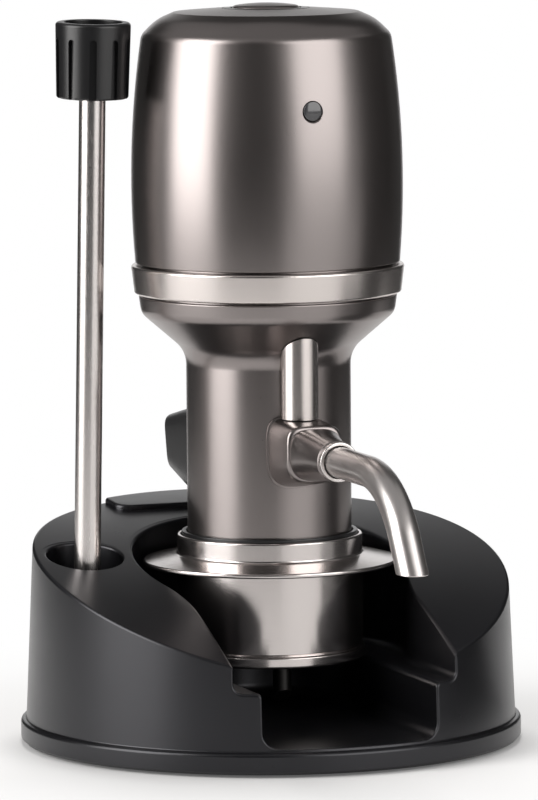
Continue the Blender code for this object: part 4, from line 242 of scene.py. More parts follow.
# Spout
SPOUT_HEIGHT = 0.0808
RISER_PLACE = 0.0240
RISER_RADIUS = 0.0050
RISER_TOP = 0.1120
BOSS_ROOT = ((0.0200, 0.0080, 0.0096, 0.0008), (0.0343, 0.00782, 0.00776, 0.00006))
BOSS_HALF_WIDTH = 0.0078
BOSS_HALF_HEIGHT = 0.0076
BOSS_SQUARENESS = 4.4
BOSS_LIP = 0.0010
BOSS_LIP_TUCK = 0.75
BOSS_LIP_SOFTENING = 0.25
BOSS_HEIGHTS = (0.0500, 0.1100)
BOSS_EDGE = 0.0355
BOSS_MOUTH = 0.0520
BOSS_MOUTH_RADIUS = 0.0055
BOSS_UNDERSIDE = 0.45
BOSS_FOOT_GROW = 0.00045
BOSS_FOOT_RISE = 0.0008
BOSS_FOOT_EDGE = 0.00035
BOSS_BORE = (0.0357, 0.0560)
CONE_STEPS = (
    (0.10, 0.36, 3.2),
    (0.25, 0.50, 2.7),
    (0.40, 0.64, 2.4),
    (0.60, 0.82, 2.15),
    (0.80, 0.93, 2.05),
)
NUT_LENGTH = 0.0016
NUT_WALL = 0.0009
SPOUT_RADIUS = 0.0041
SPOUT_WALL = 0.0007
SPOUT_SEAT = 0.0160
SPOUT_RUN_STEPS = 9
SPOUT_BEND_START = 0.0745
SPOUT_BEND_STEPS = 28
SPOUT_BEND_RADIUS = 0.0310
SPOUT_BEND_ANGLE = math.radians(58)
SPOUT_TIP_HEIGHT = 0.0578
SPOUT_LIP = 0.00018
SPOUT_INNER_LIP = 0.0001

# Lock lever
LEVER_PIVOT = Vector((0, 0.0285, 0.0790))
LEVER_ROOT = 0.0275
LEVER_TIP = 0.0590
LEVER_ROOT_TOP = 0.0890
LEVER_ROOT_FOOT = 0.0605
LEVER_TIP_TOP = 0.0825
LEVER_TIP_FOOT = 0.0672
LEVER_HALF_WIDTH = 0.0113
LEVER_TIP_HALF_WIDTH = 0.0099
LEVER_SLANT = 0.0034
LEVER_POCKET_HALF_WIDTH = 0.0073
LEVER_ROOF = 0.0020
LEVER_INNER_POCKET = (LEVER_ROOT - RUN_PAST, 0.0360)
LEVER_OUTER_POCKET = (0.0380, 0.0530)
LEVER_ROUNDING = 0.0015
LEVER_SQUARENESS = 6.0
LEVER_ROOT_EDGE = 0.0006
LEVER_ROOT_SHARE = 0.02
PIN_RADIUS = 0.0015
PIN_HALF_LENGTH = 0.0150
PAWL_HALF_WIDTH = 0.0028
PAWL_DEPTH = (0.0142, 0.0370)
PAWL_HEIGHT = (0.0660, 0.0695)
BUTTON_WIRE = 0.0004
BUTTON_COIL_TURNS = 4.0


def placed(name, data):
    """A new object with this data, in the scene."""
    item = bpy.data.objects.new(name, data)
    bpy.context.scene.collection.objects.link(item)
    return item


# Camera, at the photograph's place and with its framing

EYE_DISTANCE = 1.774
EYE_HEIGHT = 0.288
EYE_AZIMUTH = math.radians(-20)
TARGET_HEIGHT = 0.091
FOCAL_PIXELS = 6640
FRAME_WIDTH = 538
FRAME_HEIGHT = 800
CENTRE_ACROSS = 268.7
CENTRE_DOWN = 402.8
SENSOR = 36
ROLL = math.radians(-0.42)


def make_camera():
    eye = Vector((math.sin(EYE_AZIMUTH), -math.cos(EYE_AZIMUTH), 0)) * EYE_DISTANCE
    eye.z = EYE_HEIGHT
    back = (eye - Vector((0, 0, TARGET_HEIGHT))).normalized()
    right = Vector((0, 0, 1)).cross(back).normalized()
    turn = Matrix((right, back.cross(right), back)).transposed().to_4x4()
    data = bpy.data.cameras.new("camera")
    camera = placed("camera", data)
    camera.matrix_world = Matrix.Translation(eye) @ turn @ Matrix.Rotation(ROLL, 4, "Z")
    data.sensor_fit = "VERTICAL"
    data.sensor_height = SENSOR
    data.lens = FOCAL_PIXELS * SENSOR / FRAME_HEIGHT
    data.clip_end = 20
    data.shift_x = (FRAME_WIDTH / 2 - CENTRE_ACROSS) / FRAME_HEIGHT
    data.shift_y = (CENTRE_DOWN - FRAME_HEIGHT / 2) / FRAME_HEIGHT
    bpy.context.scene.camera = camera


# Finishes: node materials, written as sums on sockets

SATIN_GRAIN = 0.000005
STEEL_GRAIN = 0.000003
SPOUT_GRAIN = 0.000001
PLASTIC_GRAIN = 0.000012
PLASTIC_SHINE = 0.5
WHITE = (1, 1, 1, 1)
COOL_SHINE = (0.94, 0.94, 1.0, 1)


class Value:
    """An output socket that takes part in sums."""

    def __init__(self, finish, socket):
        self.finish = finish
        self.socket = socket

    def maths(self, operation, first, second):
        return self.finish.node("ShaderNodeMath", {"operation": operation}, {0: first, 1: second})

    def __add__(self, other):
        return self.maths("ADD", self, other)

    __radd__ = __add__

    def __sub__(self, other):
        return self.maths("SUBTRACT", self, other)

    def __rsub__(self, other):
        return self.maths("SUBTRACT", other, self)

    def __mul__(self, other):
        return self.maths("MULTIPLY", self, other)

    __rmul__ = __mul__


class Finish:
    """A material with one shader, whose sockets take numbers, colours or sums."""

    def __init__(self, name, shader="ShaderNodeBsdfPrincipled"):
        self.material = bpy.data.materials.new(name)
        self.material.use_nodes = True
        self.tree = self.material.node_tree
        self.tree.nodes.clear()
        self.out = self.tree.nodes.new("ShaderNodeOutputMaterial")
        self.shader = self.tree.nodes.new(shader)
        self.tree.links.new(self.shader.outputs[0], self.out.inputs["Surface"])

    def join(self, socket, value):
        if isinstance(value, Value):
            self.tree.links.new(value.socket, socket)
        else:
            socket.default_value = value

    def node(self, kind, settings=None, sockets=None, output=0):
        made = self.tree.nodes.new(kind)
        for name, value in (settings or {}).items():
            setattr(made, name, value)
        for name, value in (sockets or {}).items():
            self.join(made.inputs[name], value)
        return Value(self, made.outputs[output])

    def place(self, scale=(1, 1, 1), turn=(0, 0, 0), shift=(0, 0, 0)):
        """Object coordinates, stretched to suit a grain or a piece."""
        coordinates = self.node("ShaderNodeTexCoord", output="Object")
        sockets = {"Vector": coordinates, "Scale": scale, "Rotation": turn, "Location": shift}
        return self.node("ShaderNodeMapping", {}, sockets)

    def noise(self, where, scale, detail=3, roughness=0.5):
        sockets = {"Vector": where, "Scale": scale, "Detail": detail, "Roughness": roughness}
        return self.node("ShaderNodeTexNoise", {}, sockets, "Fac")

    def steps(self, value, low, high, to_low=0.0, to_high=1.0):
        """A value moved from one range to another, held at the ends."""
        sockets = {"Value": value, "From Min": low, "From Max": high}
        sockets |= {"To Min": to_low, "To Max": to_high}
        return self.node("ShaderNodeMapRange", {"clamp": True}, sockets, "Result")

    def mixed(self, share, first, second):
        """Two colours mixed, through the Mix node's colour sockets."""
        return self.node("ShaderNodeMix", {"data_type": "RGBA"}, {0: share, 6: first, 7: second}, 2)

    def bump(self, height, distance, strength=1.0):
        sockets = {"Height": height, "Distance": distance, "Strength": strength}
        return self.node("ShaderNodeBump", {}, sockets, "Normal")

    def set(self, **values):
        for name, value in values.items():
            self.join(self.shader.inputs[name.replace("_", " ")], value)
        return self.material


def tone(colour, factor):
    return (*(min(1, channel * factor) for channel in colour), 1)


def satin_metal(name, colour, roughness):
    """Fine blasted metal under a clear satin skin, with faint cloudiness and wear."""
    finish = Finish(name)
    fine = finish.noise(finish.place(), 6500, 2, 0.6)
    drawn = finish.noise(finish.place((1, 1, 0.4)), 2600, 3, 0.6)
    cloud = finish.noise(finish.place(), 30, 3, 0.5)
    scuff = finish.steps(finish.noise(finish.place((1, 1, 0.5)), 340, 4, 0.65), 0.66, 0.80)
    tint = finish.mixed(cloud * 0.6 + drawn * 0.4, tone(colour, 0.95), tone(colour, 1.05))
    dulled = roughness + (cloud - 0.5) * 0.05 + (drawn - 0.5) * 0.05 + scuff * 0.02
    height = fine * 0.6 + drawn * 0.4
    return finish.set(
        Base_Color=tint, Metallic=1.0, Roughness=dulled, Normal=finish.bump(height, SATIN_GRAIN, 0.5)
    )


def drawn_steel(name, colour, roughness, streak, grain=STEEL_GRAIN):
    """Polished steel with the fine lines of its drawing or turning."""
    finish = Finish(name)
    lines = finish.noise(finish.place(streak), 4600, 3, 0.6)
    cloud = finish.noise(finish.place(), 45, 3, 0.5)
    hair = finish.steps(finish.noise(finish.place(streak), 2300, 2, 0.5), 0.62, 0.78)
    tint = finish.mixed(lines * 0.5 + cloud * 0.5, tone(colour, 0.95), tone(colour, 1.04))
    dulled = roughness + (lines - 0.5) * 0.08 + (cloud - 0.5) * 0.04 + hair * 0.03
    return finish.set(
        Base_Color=tint, Metallic=1.0, Roughness=dulled, Normal=finish.bump(lines, grain, 0.45)
    )


def moulded_plastic(name, colour, roughness, shine_tint=WHITE):
    """Moulded plastic with a fine spark texture and slight flow marks."""
    finish = Finish(name)
    spark = finish.noise(finish.place(), 3400, 3, 0.6)
    flow = finish.noise(finish.place((1, 1, 2.5)), 38, 4, 0.6)
    handled = finish.steps(finish.noise(finish.place(), 130, 4, 0.7), 0.58, 0.80)
    tint = finish.mixed(flow * 0.6 + spark * 0.4, tone(colour, 0.86), tone(colour, 1.15))
    dulled = roughness + (flow - 0.5) * 0.06 + (spark - 0.5) * 0.06 - handled * 0.03
    return finish.set(
        Base_Color=tint,
        Specular_IOR_Level=PLASTIC_SHINE,
        Specular_Tint=shine_tint,
        Roughness=dulled,
        Normal=finish.bump(spark, PLASTIC_GRAIN, 0.5),
    )


def soft_rubber(name, colour, roughness):
    """Matt rubber or silicone with a dusty bloom."""
    finish = Finish(name)
    pores = finish.noise(finish.place(), 3200, 3, 0.7)
    bloom = finish.noise(finish.place(), 90, 4, 0.65)
    tint = finish.mixed(bloom, tone(colour, 0.85), tone(colour, 1.25))
    dulled = roughness + (bloom - 0.5) * 0.16
    return finish.set(Base_Color=tint, Roughness=dulled, Normal=finish.bump(pores, 0.00005, 0.6))


def lens_plastic():
    """Smoky clear plastic over an unlit light."""
    finish = Finish("smoky_lens")
    swirl = finish.noise(finish.place(), 700, 2, 0.5)
    tint = finish.mixed(swirl, (0.026, 0.026, 0.028, 1), (0.046, 0.046, 0.050, 1))
    dulled = 0.16 + (swirl - 0.5) * 0.08
    return finish.set(Base_Color=tint, Roughness=dulled, Coat_Weight=0.6, Coat_Roughness=0.05)


def circuit_board():
    """Green board with slightly raised tracks under its lacquer."""
    finish = Finish("circuit_board")
    pattern = {"feature": "DISTANCE_TO_EDGE", "distance": "MANHATTAN"}
    cell = {"Vector": finish.place(), "Scale": 420}
    tracks = finish.node("ShaderNodeTexVoronoi", pattern, cell, "Distance")
    line = finish.steps(tracks, 0.04, 0.10, 1.0, 0.0)
    weave = finish.noise(finish.place(), 2400, 2, 0.5)
    tint = finish.mixed(line, (0.012, 0.085, 0.035, 1), (0.045, 0.190, 0.080, 1))
    dulled = 0.36 + (weave - 0.5) * 0.14
    return finish.set(Base_Color=tint, Roughness=dulled, Normal=finish.bump(line, 0.00004, 0.6))


def battery_wrap():
    """Thin shrink film over the cell, with soft wrinkles towards its ends."""
    finish = Finish("battery_film")
    wrinkle = finish.noise(finish.place((1, 1, 0.25)), 520, 4, 0.6)
    cloud = finish.noise(finish.place(), 70, 3, 0.5)
    tint = finish.mixed(cloud, (0.035, 0.150, 0.330, 1), (0.060, 0.220, 0.450, 1))
    dulled = 0.34 + (wrinkle - 0.5) * 0.16
    return finish.set(Base_Color=tint, Roughness=dulled, Normal=finish.bump(wrinkle, 0.00008, 0.5))


GUNMETAL = satin_metal("gunmetal_satin", (0.262, 0.236, 0.230), 0.29)
NICKEL = satin_metal("nickel_satin", (0.640, 0.592, 0.570), 0.25)
STEEL_TUBE = drawn_steel("steel_drawn_tube", (0.640, 0.605, 0.590), 0.26, (1, 1, 0.03))
STEEL_SPOUT = drawn_steel("steel_bent_tube", (0.660, 0.625, 0.610), 0.30, (0.6, 0.05, 0.05), SPOUT_GRAIN)
STEEL_CUP = drawn_steel("steel_spun_cup", (0.600, 0.560, 0.545), 0.20, (0.08, 0.08, 1))
DARK_METAL = satin_metal("dark_ring_metal", (0.060, 0.056, 0.054), 0.26)
STAND_PLASTIC = moulded_plastic("stand_black_plastic", (0.0042, 0.0042, 0.0050), 0.30, COOL_SHINE)
LEVER_PLASTIC = moulded_plastic("lever_black_plastic", (0.0090, 0.0090, 0.0095), 0.36)
CAP_PLASTIC = moulded_plastic("cap_black_plastic", (0.0070, 0.0070, 0.0076), 0.30)
GREY_PLASTIC = moulded_plastic("frame_grey_plastic", (0.240, 0.240, 0.250), 0.50)
BLACK_RUBBER = soft_rubber("black_rubber", (0.014, 0.014, 0.014), 0.72)
SILICONE = soft_rubber("milky_silicone", (0.520, 0.520, 0.500), 0.42)
LENS = lens_plastic()
BOARD = circuit_board()
BATTERY_FILM = battery_wrap()
# Near-black, rougher steel for the drain spigot: painted shade, standing in for the shadow the spigot
# sits in under the cup
DRAIN_SHADE_STEEL = drawn_steel("steel_drain_painted_shade", (0.050, 0.048, 0.047), 0.42, (1, 1, 0.2))
BARE_STEEL = drawn_steel("bare_steel", (0.500, 0.495, 0.485), 0.28, (1, 1, 0.2))


# Studio: pale floor, surroundings that are white to the eye, soft panels, dark screens and a white card

FLOOR_REACH = 2.6
FLOOR_NEAR = 0.070
FLOOR_FAR = 0.190
FLOOR_NEAR_WHITE = 0.10
FLOOR_TONE = (0.62, 0.62, 0.62)
AROUND_DIM = 0.10
AROUND_LIGHT = 0.25
FLOOR_IN_METAL = 0.05
SKY_COLOUR = (1, 0.985, 0.975, 1)
CARD_STEPS = 24
SCREEN_TONE = 0.02
PANEL_COLOUR = (1, 0.985, 0.97)


def make_floor():
    """The pale floor, which stays white to the eye and keeps the object's shadow."""
    mesh = bpy.data.meshes.new("floor")
    reach = FLOOR_REACH
    corners = [(-reach, -reach, 0), (reach, -reach, 0), (reach, reach, 0), (-reach, reach, 0)]
    mesh.from_pydata(corners, [], [(0, 1, 2, 3)])
    item = placed("floor", mesh)
    paint = Finish("floor_paint", "ShaderNodeMixShader")
    rays = paint.tree.nodes.new("ShaderNodeLightPath")
    seen = Value(paint, rays.outputs["Is Camera Ray"])
    glossy = Value(paint, rays.outputs["Is Glossy Ray"])
    through = Value(paint, rays.outputs["Is Transmission Ray"])
    dust = paint.noise(paint.place(), 14, 3, 0.5)
    tint = paint.mixed(dust, tone(FLOOR_TONE, 0.98), tone(FLOOR_TONE, 1.02))
    matt = paint.node("ShaderNodeBsdfDiffuse", {}, {"Color": tint})
    white = paint.node("ShaderNodeEmission", {}, {"Color": WHITE, "Strength": 1.0})
    length = {"operation": "LENGTH"}
    away = paint.node("ShaderNodeVectorMath", length, {0: paint.place()}, "Value")
    clear = paint.steps(away, FLOOR_NEAR, FLOOR_FAR, FLOOR_NEAR_WHITE, 1.0)
    share = (seen + through) * clear + glossy * FLOOR_IN_METAL
    paint.join(paint.shader.inputs[0], share)
    paint.join(paint.shader.inputs[1], matt)
    paint.join(paint.shader.inputs[2], white)
    mesh.materials.append(paint.material)


def make_surroundings():
    world = bpy.data.worlds.new("surroundings")
    bpy.context.scene.world = world
    world.use_nodes = True
    tree = world.node_tree
    tree.nodes.clear()
    out = tree.nodes.new("ShaderNodeOutputWorld")
    rays = tree.nodes.new("ShaderNodeLightPath")
    sky = tree.nodes.new("ShaderNodeBackground")
    sky.inputs["Color"].default_value = SKY_COLOUR
    sky.inputs["Strength"].default_value = AROUND_LIGHT
    white = tree.nodes.new("ShaderNodeBackground")
    white.inputs["Color"].default_value = WHITE
    white.inputs["Strength"].default_value = 1.0
    both = tree.nodes.new("ShaderNodeMath")
    both.operation = "MAXIMUM"
    tree.links.new(rays.outputs["Is Camera Ray"], both.inputs[0])
    tree.links.new(rays.outputs["Is Transmission Ray"], both.inputs[1])
    three = tree.nodes.new("ShaderNodeMath")
    three.operation = "MULTIPLY_ADD"
    tree.links.new(rays.outputs["Is Glossy Ray"], three.inputs[0])
    three.inputs[1].default_value = AROUND_DIM
    tree.links.new(both.outputs[0], three.inputs[2])
    mix = tree.nodes.new("ShaderNodeMixShader")
    tree.links.new(three.outputs[0], mix.inputs[0])
    tree.links.new(sky.outputs[0], mix.inputs[1])
    tree.links.new(white.outputs[0], mix.inputs[2])
    tree.links.new(mix.outputs[0], out.inputs["Surface"])


def beside_eye(degrees, distance, height):
    """A place this many degrees round from the eye's side of the object, positive to its right."""
    angle = EYE_AZIMUTH + math.radians(degrees)
    return Vector((math.sin(angle) * distance, -math.cos(angle) * distance, height))


def soft_panel(name, degrees, distance, middle, width, height, power, shines=True):
    """A soft light aimed at the object's middle; one that doesn't shine gives no glare on metal."""
    data = bpy.data.lights.new(name, "AREA")
    data.shape = "RECTANGLE"
    data.size = width
    data.size_y = height
    data.energy = power
    data.color = PANEL_COLOUR
    item = placed(name, data)
    place = beside_eye(degrees, distance, middle)
    item.location = place
    item.rotation_euler = (place - Vector((0, 0, TARGET_HEIGHT))).to_track_quat("Z", "Y").to_euler()
    item.visible_camera = False
    item.visible_glossy = shines


def stand_round(name, first, last, low_edge, high_edge, material):
    """A curved card round the object, between two (distance, height) edges, unseen by the eye."""
    mesh = bpy.data.meshes.new(name)
    count = CARD_STEPS
    places = []
    for step in range(count + 1):
        degrees = first + (last - first) * step / count
        places += [tuple(beside_eye(degrees, *edge)) for edge in (low_edge, high_edge)]
    faces = [(2 * i, 2 * i + 1, 2 * i + 3, 2 * i + 2) for i in range(count)]
    mesh.from_pydata(places, [], faces)
    mesh.materials.append(material)
    item = placed(name, mesh)
    item.visible_camera = False
    item.visible_shadow = False
    item.visible_diffuse = False


def dark_cloth():
    cloth = Finish("dark_cloth")
    fold = cloth.noise(cloth.place(), 9, 2, 0.5)
    tint = cloth.mixed(fold, tone((SCREEN_TONE,) * 3, 0.8), tone((SCREEN_TONE,) * 3, 1.2))
    return cloth.set(Base_Color=tint, Roughness=0.9)


def white_card():
    """The white backdrop as metal sees it."""
    return Finish("white_card", "ShaderNodeEmission").set(Color=WHITE, Strength=1.0)


make_camera()
make_floor()
make_surroundings()
soft_panel("left_panel", -67, distance=1.05, middle=0.52, width=0.82, height=1.10, power=16)
soft_panel("right_panel", 47, distance=1.05, middle=0.55, width=0.96, height=1.00, power=8.8)
soft_panel(
    "overhead_panel", 180, distance=0.40, middle=1.30, width=0.50, height=0.50, power=15, shines=False
)
DARK_CLOTH = dark_cloth()
stand_round("left_screen", -94, -160, (0.50, 0.0), (0.50, 0.50), DARK_CLOTH)
stand_round("right_screen", 84, 160, (0.50, 0.0), (0.50, 0.50), DARK_CLOTH)
stand_round("front_screen", -42, 14, (0.50, 0.0), (0.50, 0.60), DARK_CLOTH)
stand_round("high_screen", 135, 205, (0.50, 0.47), (0.40, 0.95), DARK_CLOTH)
stand_round("floor_cloth", 64, 112, (0.12, 0.001), (0.50, 0.001), DARK_CLOTH)
stand_round("backdrop", 150, 210, (1.00, 0.0), (1.00, 0.42), white_card())


# Outlines and solids


def rounded(corners, closed=False, steps=FILLET_STEPS):
    """The outline through corners (x, y, radius), each radius turned into an arc."""
    points = []
    last = len(corners) - 1
    for index, (x, y, radius) in enumerate(corners):
        if radius == 0 or (not closed and index in (0, last)):
            points.append((x, y))
            continue
        corner = Vector((x, y))
        back = (Vector(corners[index - 1][:2]) - corner).normalized()
        ahead = (Vector(corners[(index + 1) % len(corners)][:2]) - corner).normalized()
        half = back.angle(ahead) / 2
        centre = corner + (back + ahead).normalized() * (radius / math.sin(half))
        reach = radius / math.tan(half)
        first = corner + back * reach - centre
        final = corner + ahead * reach - centre
        start = math.atan2(first.y, first.x)
        sweep = (math.atan2(final.y, final.x) - start + math.pi) % math.tau - math.pi
        for step in range(steps + 1):
            angle = start + sweep * step / steps
            points.append((centre.x + radius * math.cos(angle), centre.y + radius * math.sin(angle)))
    return points


def arc(centre, radius, start, end, steps):
    angles = [start + (end - start) * step / steps for step in range(steps + 1)]
    return [(centre[0] + radius * math.cos(a), centre[1] + radius * math.sin(a)) for a in angles]


def edge_arc(steps, sweep=math.pi / 2):
    """How far a rounded edge's points stand out and drop, as shares of its radius."""
    angles = [sweep * step / steps for step in range(steps + 1)]
    return [(1 - math.cos(angle), 1 - math.sin(angle)) for angle in angles]


def squircle(half_width, half_height, squareness, count, underside=1.0):
    """A superellipse, from a circle at squareness 2 to a rounded square, with a rounder underside."""
    points = []
    for index in range(count):
        angle = math.tau * (index + 0.5) / count
        square = squareness if angle < math.pi else 2 + (squareness - 2) * underside
        across = math.copysign(abs(math.cos(angle)) ** (2 / square), math.cos(angle))
        up = math.copysign(abs(math.sin(angle)) ** (2 / square), math.sin(angle))
        points.append((half_width * across, half_height * up))
    return points


def add_mesh(name, places, faces):
    mesh = bpy.data.meshes.new(name)
    mesh.from_pydata(places, [], faces)
    work = bmesh.new()
    work.from_mesh(mesh)
    bmesh.ops.remove_doubles(work, verts=work.verts, dist=WELD)
    bmesh.ops.dissolve_degenerate(work, edges=work.edges, dist=WELD)
    bmesh.ops.recalc_face_normals(work, faces=work.faces)
    work.to_mesh(mesh)
    work.free()
    return placed(name, mesh)


def round_faces(steps, count, rows):
    """Quads between neighbouring columns of count points, round to the first column again."""
    faces = []
    for step in range(steps):
        here, there = step * count, (step + 1) % steps * count
        for row in range(rows):
            after = (row + 1) % count
            faces.append((here + row, there + row, there + after, here + after))
    return faces


def turned(name, profile, steps=ROUND_STEPS, closed=False):
    """A profile of (radius, height) points turned about Z into a closed solid."""
    places = []
    for step in range(steps):
        angle = math.tau * step / steps
        c, s = math.cos(angle), math.sin(angle)
        places += [(radius * c, radius * s, height) for radius, height in profile]
    count = len(profile)
    return add_mesh(name, places, round_faces(steps, count, count if closed else count - 1))


def turned_ring(name, corners, steps, fine):
    """A hollow turned piece from its section's corners (radius, height, edge radius)."""
    return turned(name, rounded(corners, True, fine), steps, True)


def cylinder(name, radius, low, high, steps=SMALL_ROUND_STEPS):
    return turned(name, [(0, low), (radius, low), (radius, high), (0, high)], steps)


def lofted(name, rings):
    """Rings of equal count joined in turn, with flat ends."""
    count = len(rings[0])
    places = [point for ring in rings for point in ring]
    faces = []
    for index in range(len(rings) - 1):
        near, far = index * count, (index + 1) * count
        for step in range(count):
            after = (step + 1) % count
            faces.append((near + step, near + after, far + after, far + step))
    faces.append(tuple(range(count)))
    faces.append(tuple(range((len(rings) - 1) * count, len(rings) * count)))
    return add_mesh(name, places, faces)


def prism(name, outline, low, high):
    """A flat outline made solid from low to high along Z."""
    rings = [[(x, y, height) for x, y in outline] for height in (low, high)]
    return lofted(name, rings)


def slab(name, half_width, depth, height):
    """A block between two depths and two heights."""
    near, far = depth
    outline = [(-half_width, near), (half_width, near), (half_width, far), (-half_width, far)]
    return prism(name, outline, *height)


def moved(item, matrix):
    item.data.transform(matrix)
    return item


SHARP_ANGLE = math.radians(35)
TO_FRONT = Matrix.Rotation(math.pi / 2, 4, "X")
TO_BACK = Matrix.Rotation(math.pi, 4, "Z") @ TO_FRONT
ACROSS = Matrix.Rotation(math.pi / 2, 4, "Z") @ Matrix.Rotation(math.pi / 2, 4, "X")
TUBE_FRAME = Matrix.Translation(TUBE_PLACE) @ (
    Matrix.Rotation(TUBE_LEAN[1], 4, "Y") @ Matrix.Rotation(TUBE_LEAN[0], 4, "X")
)


def facing_front(item, height):
    return moved(item, Matrix.Translation((0, 0, height)) @ TO_FRONT)


def facing_back(item, height):
    return moved(item, Matrix.Translation((0, 0, height)) @ TO_BACK)


def settle(item):
    """The object's evaluated shape as a plain mesh in place of its modifiers."""
    bpy.context.view_layer.update()
    evaluated = item.evaluated_get(bpy.context.evaluated_depsgraph_get())
    mesh = bpy.data.meshes.new_from_object(evaluated)
    item.modifiers.clear()
    old = item.data
    item.data = mesh
    bpy.data.meshes.remove(old)
    return item


def combine(item, operation, *others):
    for other in others:
        step = item.modifiers.new(other.name, "BOOLEAN")
        step.operation = operation
        step.solver = "EXACT"
        step.object = other
    settle(item)
    for other in others:
        bpy.data.objects.remove(other, do_unlink=True)
    return item


def cut(item, *others):
    return combine(item, "DIFFERENCE", *others)


def unite(item, *others):
    return combine(item, "UNION", *others)


def joined(name, *items):
    """Several closed forms as one object, each left as it is."""
    work = bmesh.new()
    for item in items:
        work.from_mesh(item.data)
    mesh = bpy.data.meshes.new(name)
    work.to_mesh(mesh)
    work.free()
    for item in items:
        bpy.data.objects.remove(item, do_unlink=True)
    return placed(name, mesh)


def fine_edges(item, width, segments=3, angle=32):
    step = item.modifiers.new("edges", "BEVEL")
    step.width = width
    step.segments = segments
    step.limit_method = "ANGLE"
    step.angle_limit = math.radians(angle)
    step.harden_normals = False
    return settle(item)


def dress(item, material, body, slot, *replaced):
    """Smooth shading, a finish, the body that the piece rides on and the nodes it stands for."""
    mesh = item.data
    mesh.materials.clear()
    mesh.materials.append(material)
    mesh.shade_smooth()
    mesh.set_sharp_from_angle(angle=SHARP_ANGLE)
    step = item.modifiers.new("weights", "WEIGHTED_NORMAL")
    step.keep_sharp = True
    step.weight = 60
    settle(item)
    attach(item, body)
    if replaced:
        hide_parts(*replaced)
    return item


# Stand


def stand_radius(height):
    return STAND_RADIUS - (height - FLANGE_HEIGHT) * STAND_DRAFT


def top_circle():
    """Centre and radius of the arc that the stand's top follows from back to front."""
    back = Vector((STAND_RADIUS, TOP_BACK_HEIGHT))
    middle = Vector((0, TOP_MIDDLE_HEIGHT))
    front = Vector((-STAND_RADIUS, TOP_FRONT_HEIGHT))
    first, second = middle - back, front - middle
    across = Vector((-first.y, first.x))
    gap = (middle + front) / 2 - (back + middle) / 2
    share = (gap.x * second.x + gap.y * second.y) / (across.x * second.x + across.y * second.y)
    centre = (back + middle) / 2 + across * share
    return centre, (middle - centre).length


TOP_CENTRE, TOP_RADIUS = top_circle()


def top_height(y):
    return TOP_CENTRE.y + math.sqrt(TOP_RADIUS**2 - (y - TOP_CENTRE.x) ** 2)


def stand_blank():
    """The stand before its cuts: flange, drafted wall, rounded top edge and sloping top."""
    columns = []
    for step in range(ROUND_STEPS):
        angle = math.tau * step / ROUND_STEPS
        c, s = math.cos(angle), math.sin(angle)
        edge = STAND_RADIUS
        for _ in range(6):
            edge = stand_radius(top_height(edge * s))
        height = top_height(edge * s)
        inner = edge * TOP_SHARES[0]
        corners = [
            (FLANGE_RADIUS - STAND_LIFT, STAND_LIFT, 0),
            (FLANGE_RADIUS, STAND_LIFT * 2, 0),
            (FLANGE_RADIUS, FLANGE_HEIGHT, FLANGE_ROUNDING),
            (stand_radius(FLANGE_HEIGHT), FLANGE_HEIGHT, WALL_FILLET),
            (edge, height, EDGE_ROUNDING),
            (inner, top_height(inner * s), 0),
        ]
        profile = rounded(corners)
        for share in TOP_SHARES[1:]:
            profile.append((edge * share, top_height(edge * share * s)))
        columns.append([(r * c, r * s, z) for r, z in profile])
    count = len(columns[0])
    places = [point for column in columns for point in column]
    places += [(0, 0, STAND_LIFT), (0, 0, top_height(0))]
    foot, head = len(places) - 2, len(places) - 1
    faces = round_faces(ROUND_STEPS, count, count - 1)
    for step in range(ROUND_STEPS):
        here, there = step * count, (step + 1) % ROUND_STEPS * count
        faces.append((foot, there, here))
        faces.append((head, here + count - 1, there + count - 1))
    return add_mesh("stand_moulding", places, faces)


def sunk_cutter(name, outline, floor, fillet, ceiling, rounding):
    """A cutter whose wall flares out over the edge it makes and is filleted to its floor."""
    count = len(outline)
    path = [Vector(point) for point in outline]
    rings = []
    for back, rise in reversed(edge_arc(FILLET_STEPS)):
        rings.append([(-fillet * back, floor + fillet * rise, False)] * count)
    for out, drop in edge_arc(FILLET_STEPS, FLARE_ANGLE):
        rings.append([(rounding(point) * out, -rounding(point) * drop, True) for point in path])
    rings.append([(rounding(point) * FLARE_REACH, rounding(point) * FLARE_RISE, True) for point in path])
    rings.append([(rounding(point) * FLARE_REACH, CLEAR_ABOVE, True) for point in path])
    made = []
    for ring in rings:
        points = []
        for index, (offset, height, on_top) in enumerate(ring):
            point = path[index]
            before, after = path[index - 1], path[(index + 1) % count]
            along = (after - before).normalized()
            side = Vector((along.y, -along.x))
            spot = point + side * offset
            points.append((spot.x, spot.y, height + (ceiling(point) if on_top else 0)))
        made.append(points)
    return lofted(name, made)


def open_front(half_width, wide_part):
    """Corner points of a channel that runs out at the front, from its right front corner round."""
    reach = wide_part[0][1] - CHANNEL_END
    right = [(half_width, CHANNEL_END + reach * i / CHANNEL_STEPS) for i in range(CHANNEL_STEPS)]
    left = [(-x, y) for x, y in reversed(right)]
    return [*right, *wide_part, *left]


def well_outline():
    blend_x = CHANNEL_HALF_WIDTH + WELL_BLEND_RADIUS
    blend_y = -math.sqrt((WELL_RADIUS + WELL_BLEND_RADIUS) ** 2 - blend_x**2)
    tilt = math.atan2(-blend_y, blend_x)
    right = arc((blend_x, blend_y), WELL_BLEND_RADIUS, math.pi, math.pi - tilt, 10)
    round_part = arc((0, 0), WELL_RADIUS, -tilt, math.pi + tilt, WELL_STEPS)
    left = [(-x, y) for x, y in reversed(right)]
    return open_front(CHANNEL_HALF_WIDTH, [*right, *round_part[1:-1], *left])


def gutter_outline():
    half_round = arc((0, 0), GUTTER_HALF_WIDTH, 0, math.pi, WELL_STEPS // 2)
    return open_front(GUTTER_HALF_WIDTH, half_round)


def top_at(point):
    return top_height(point.y)


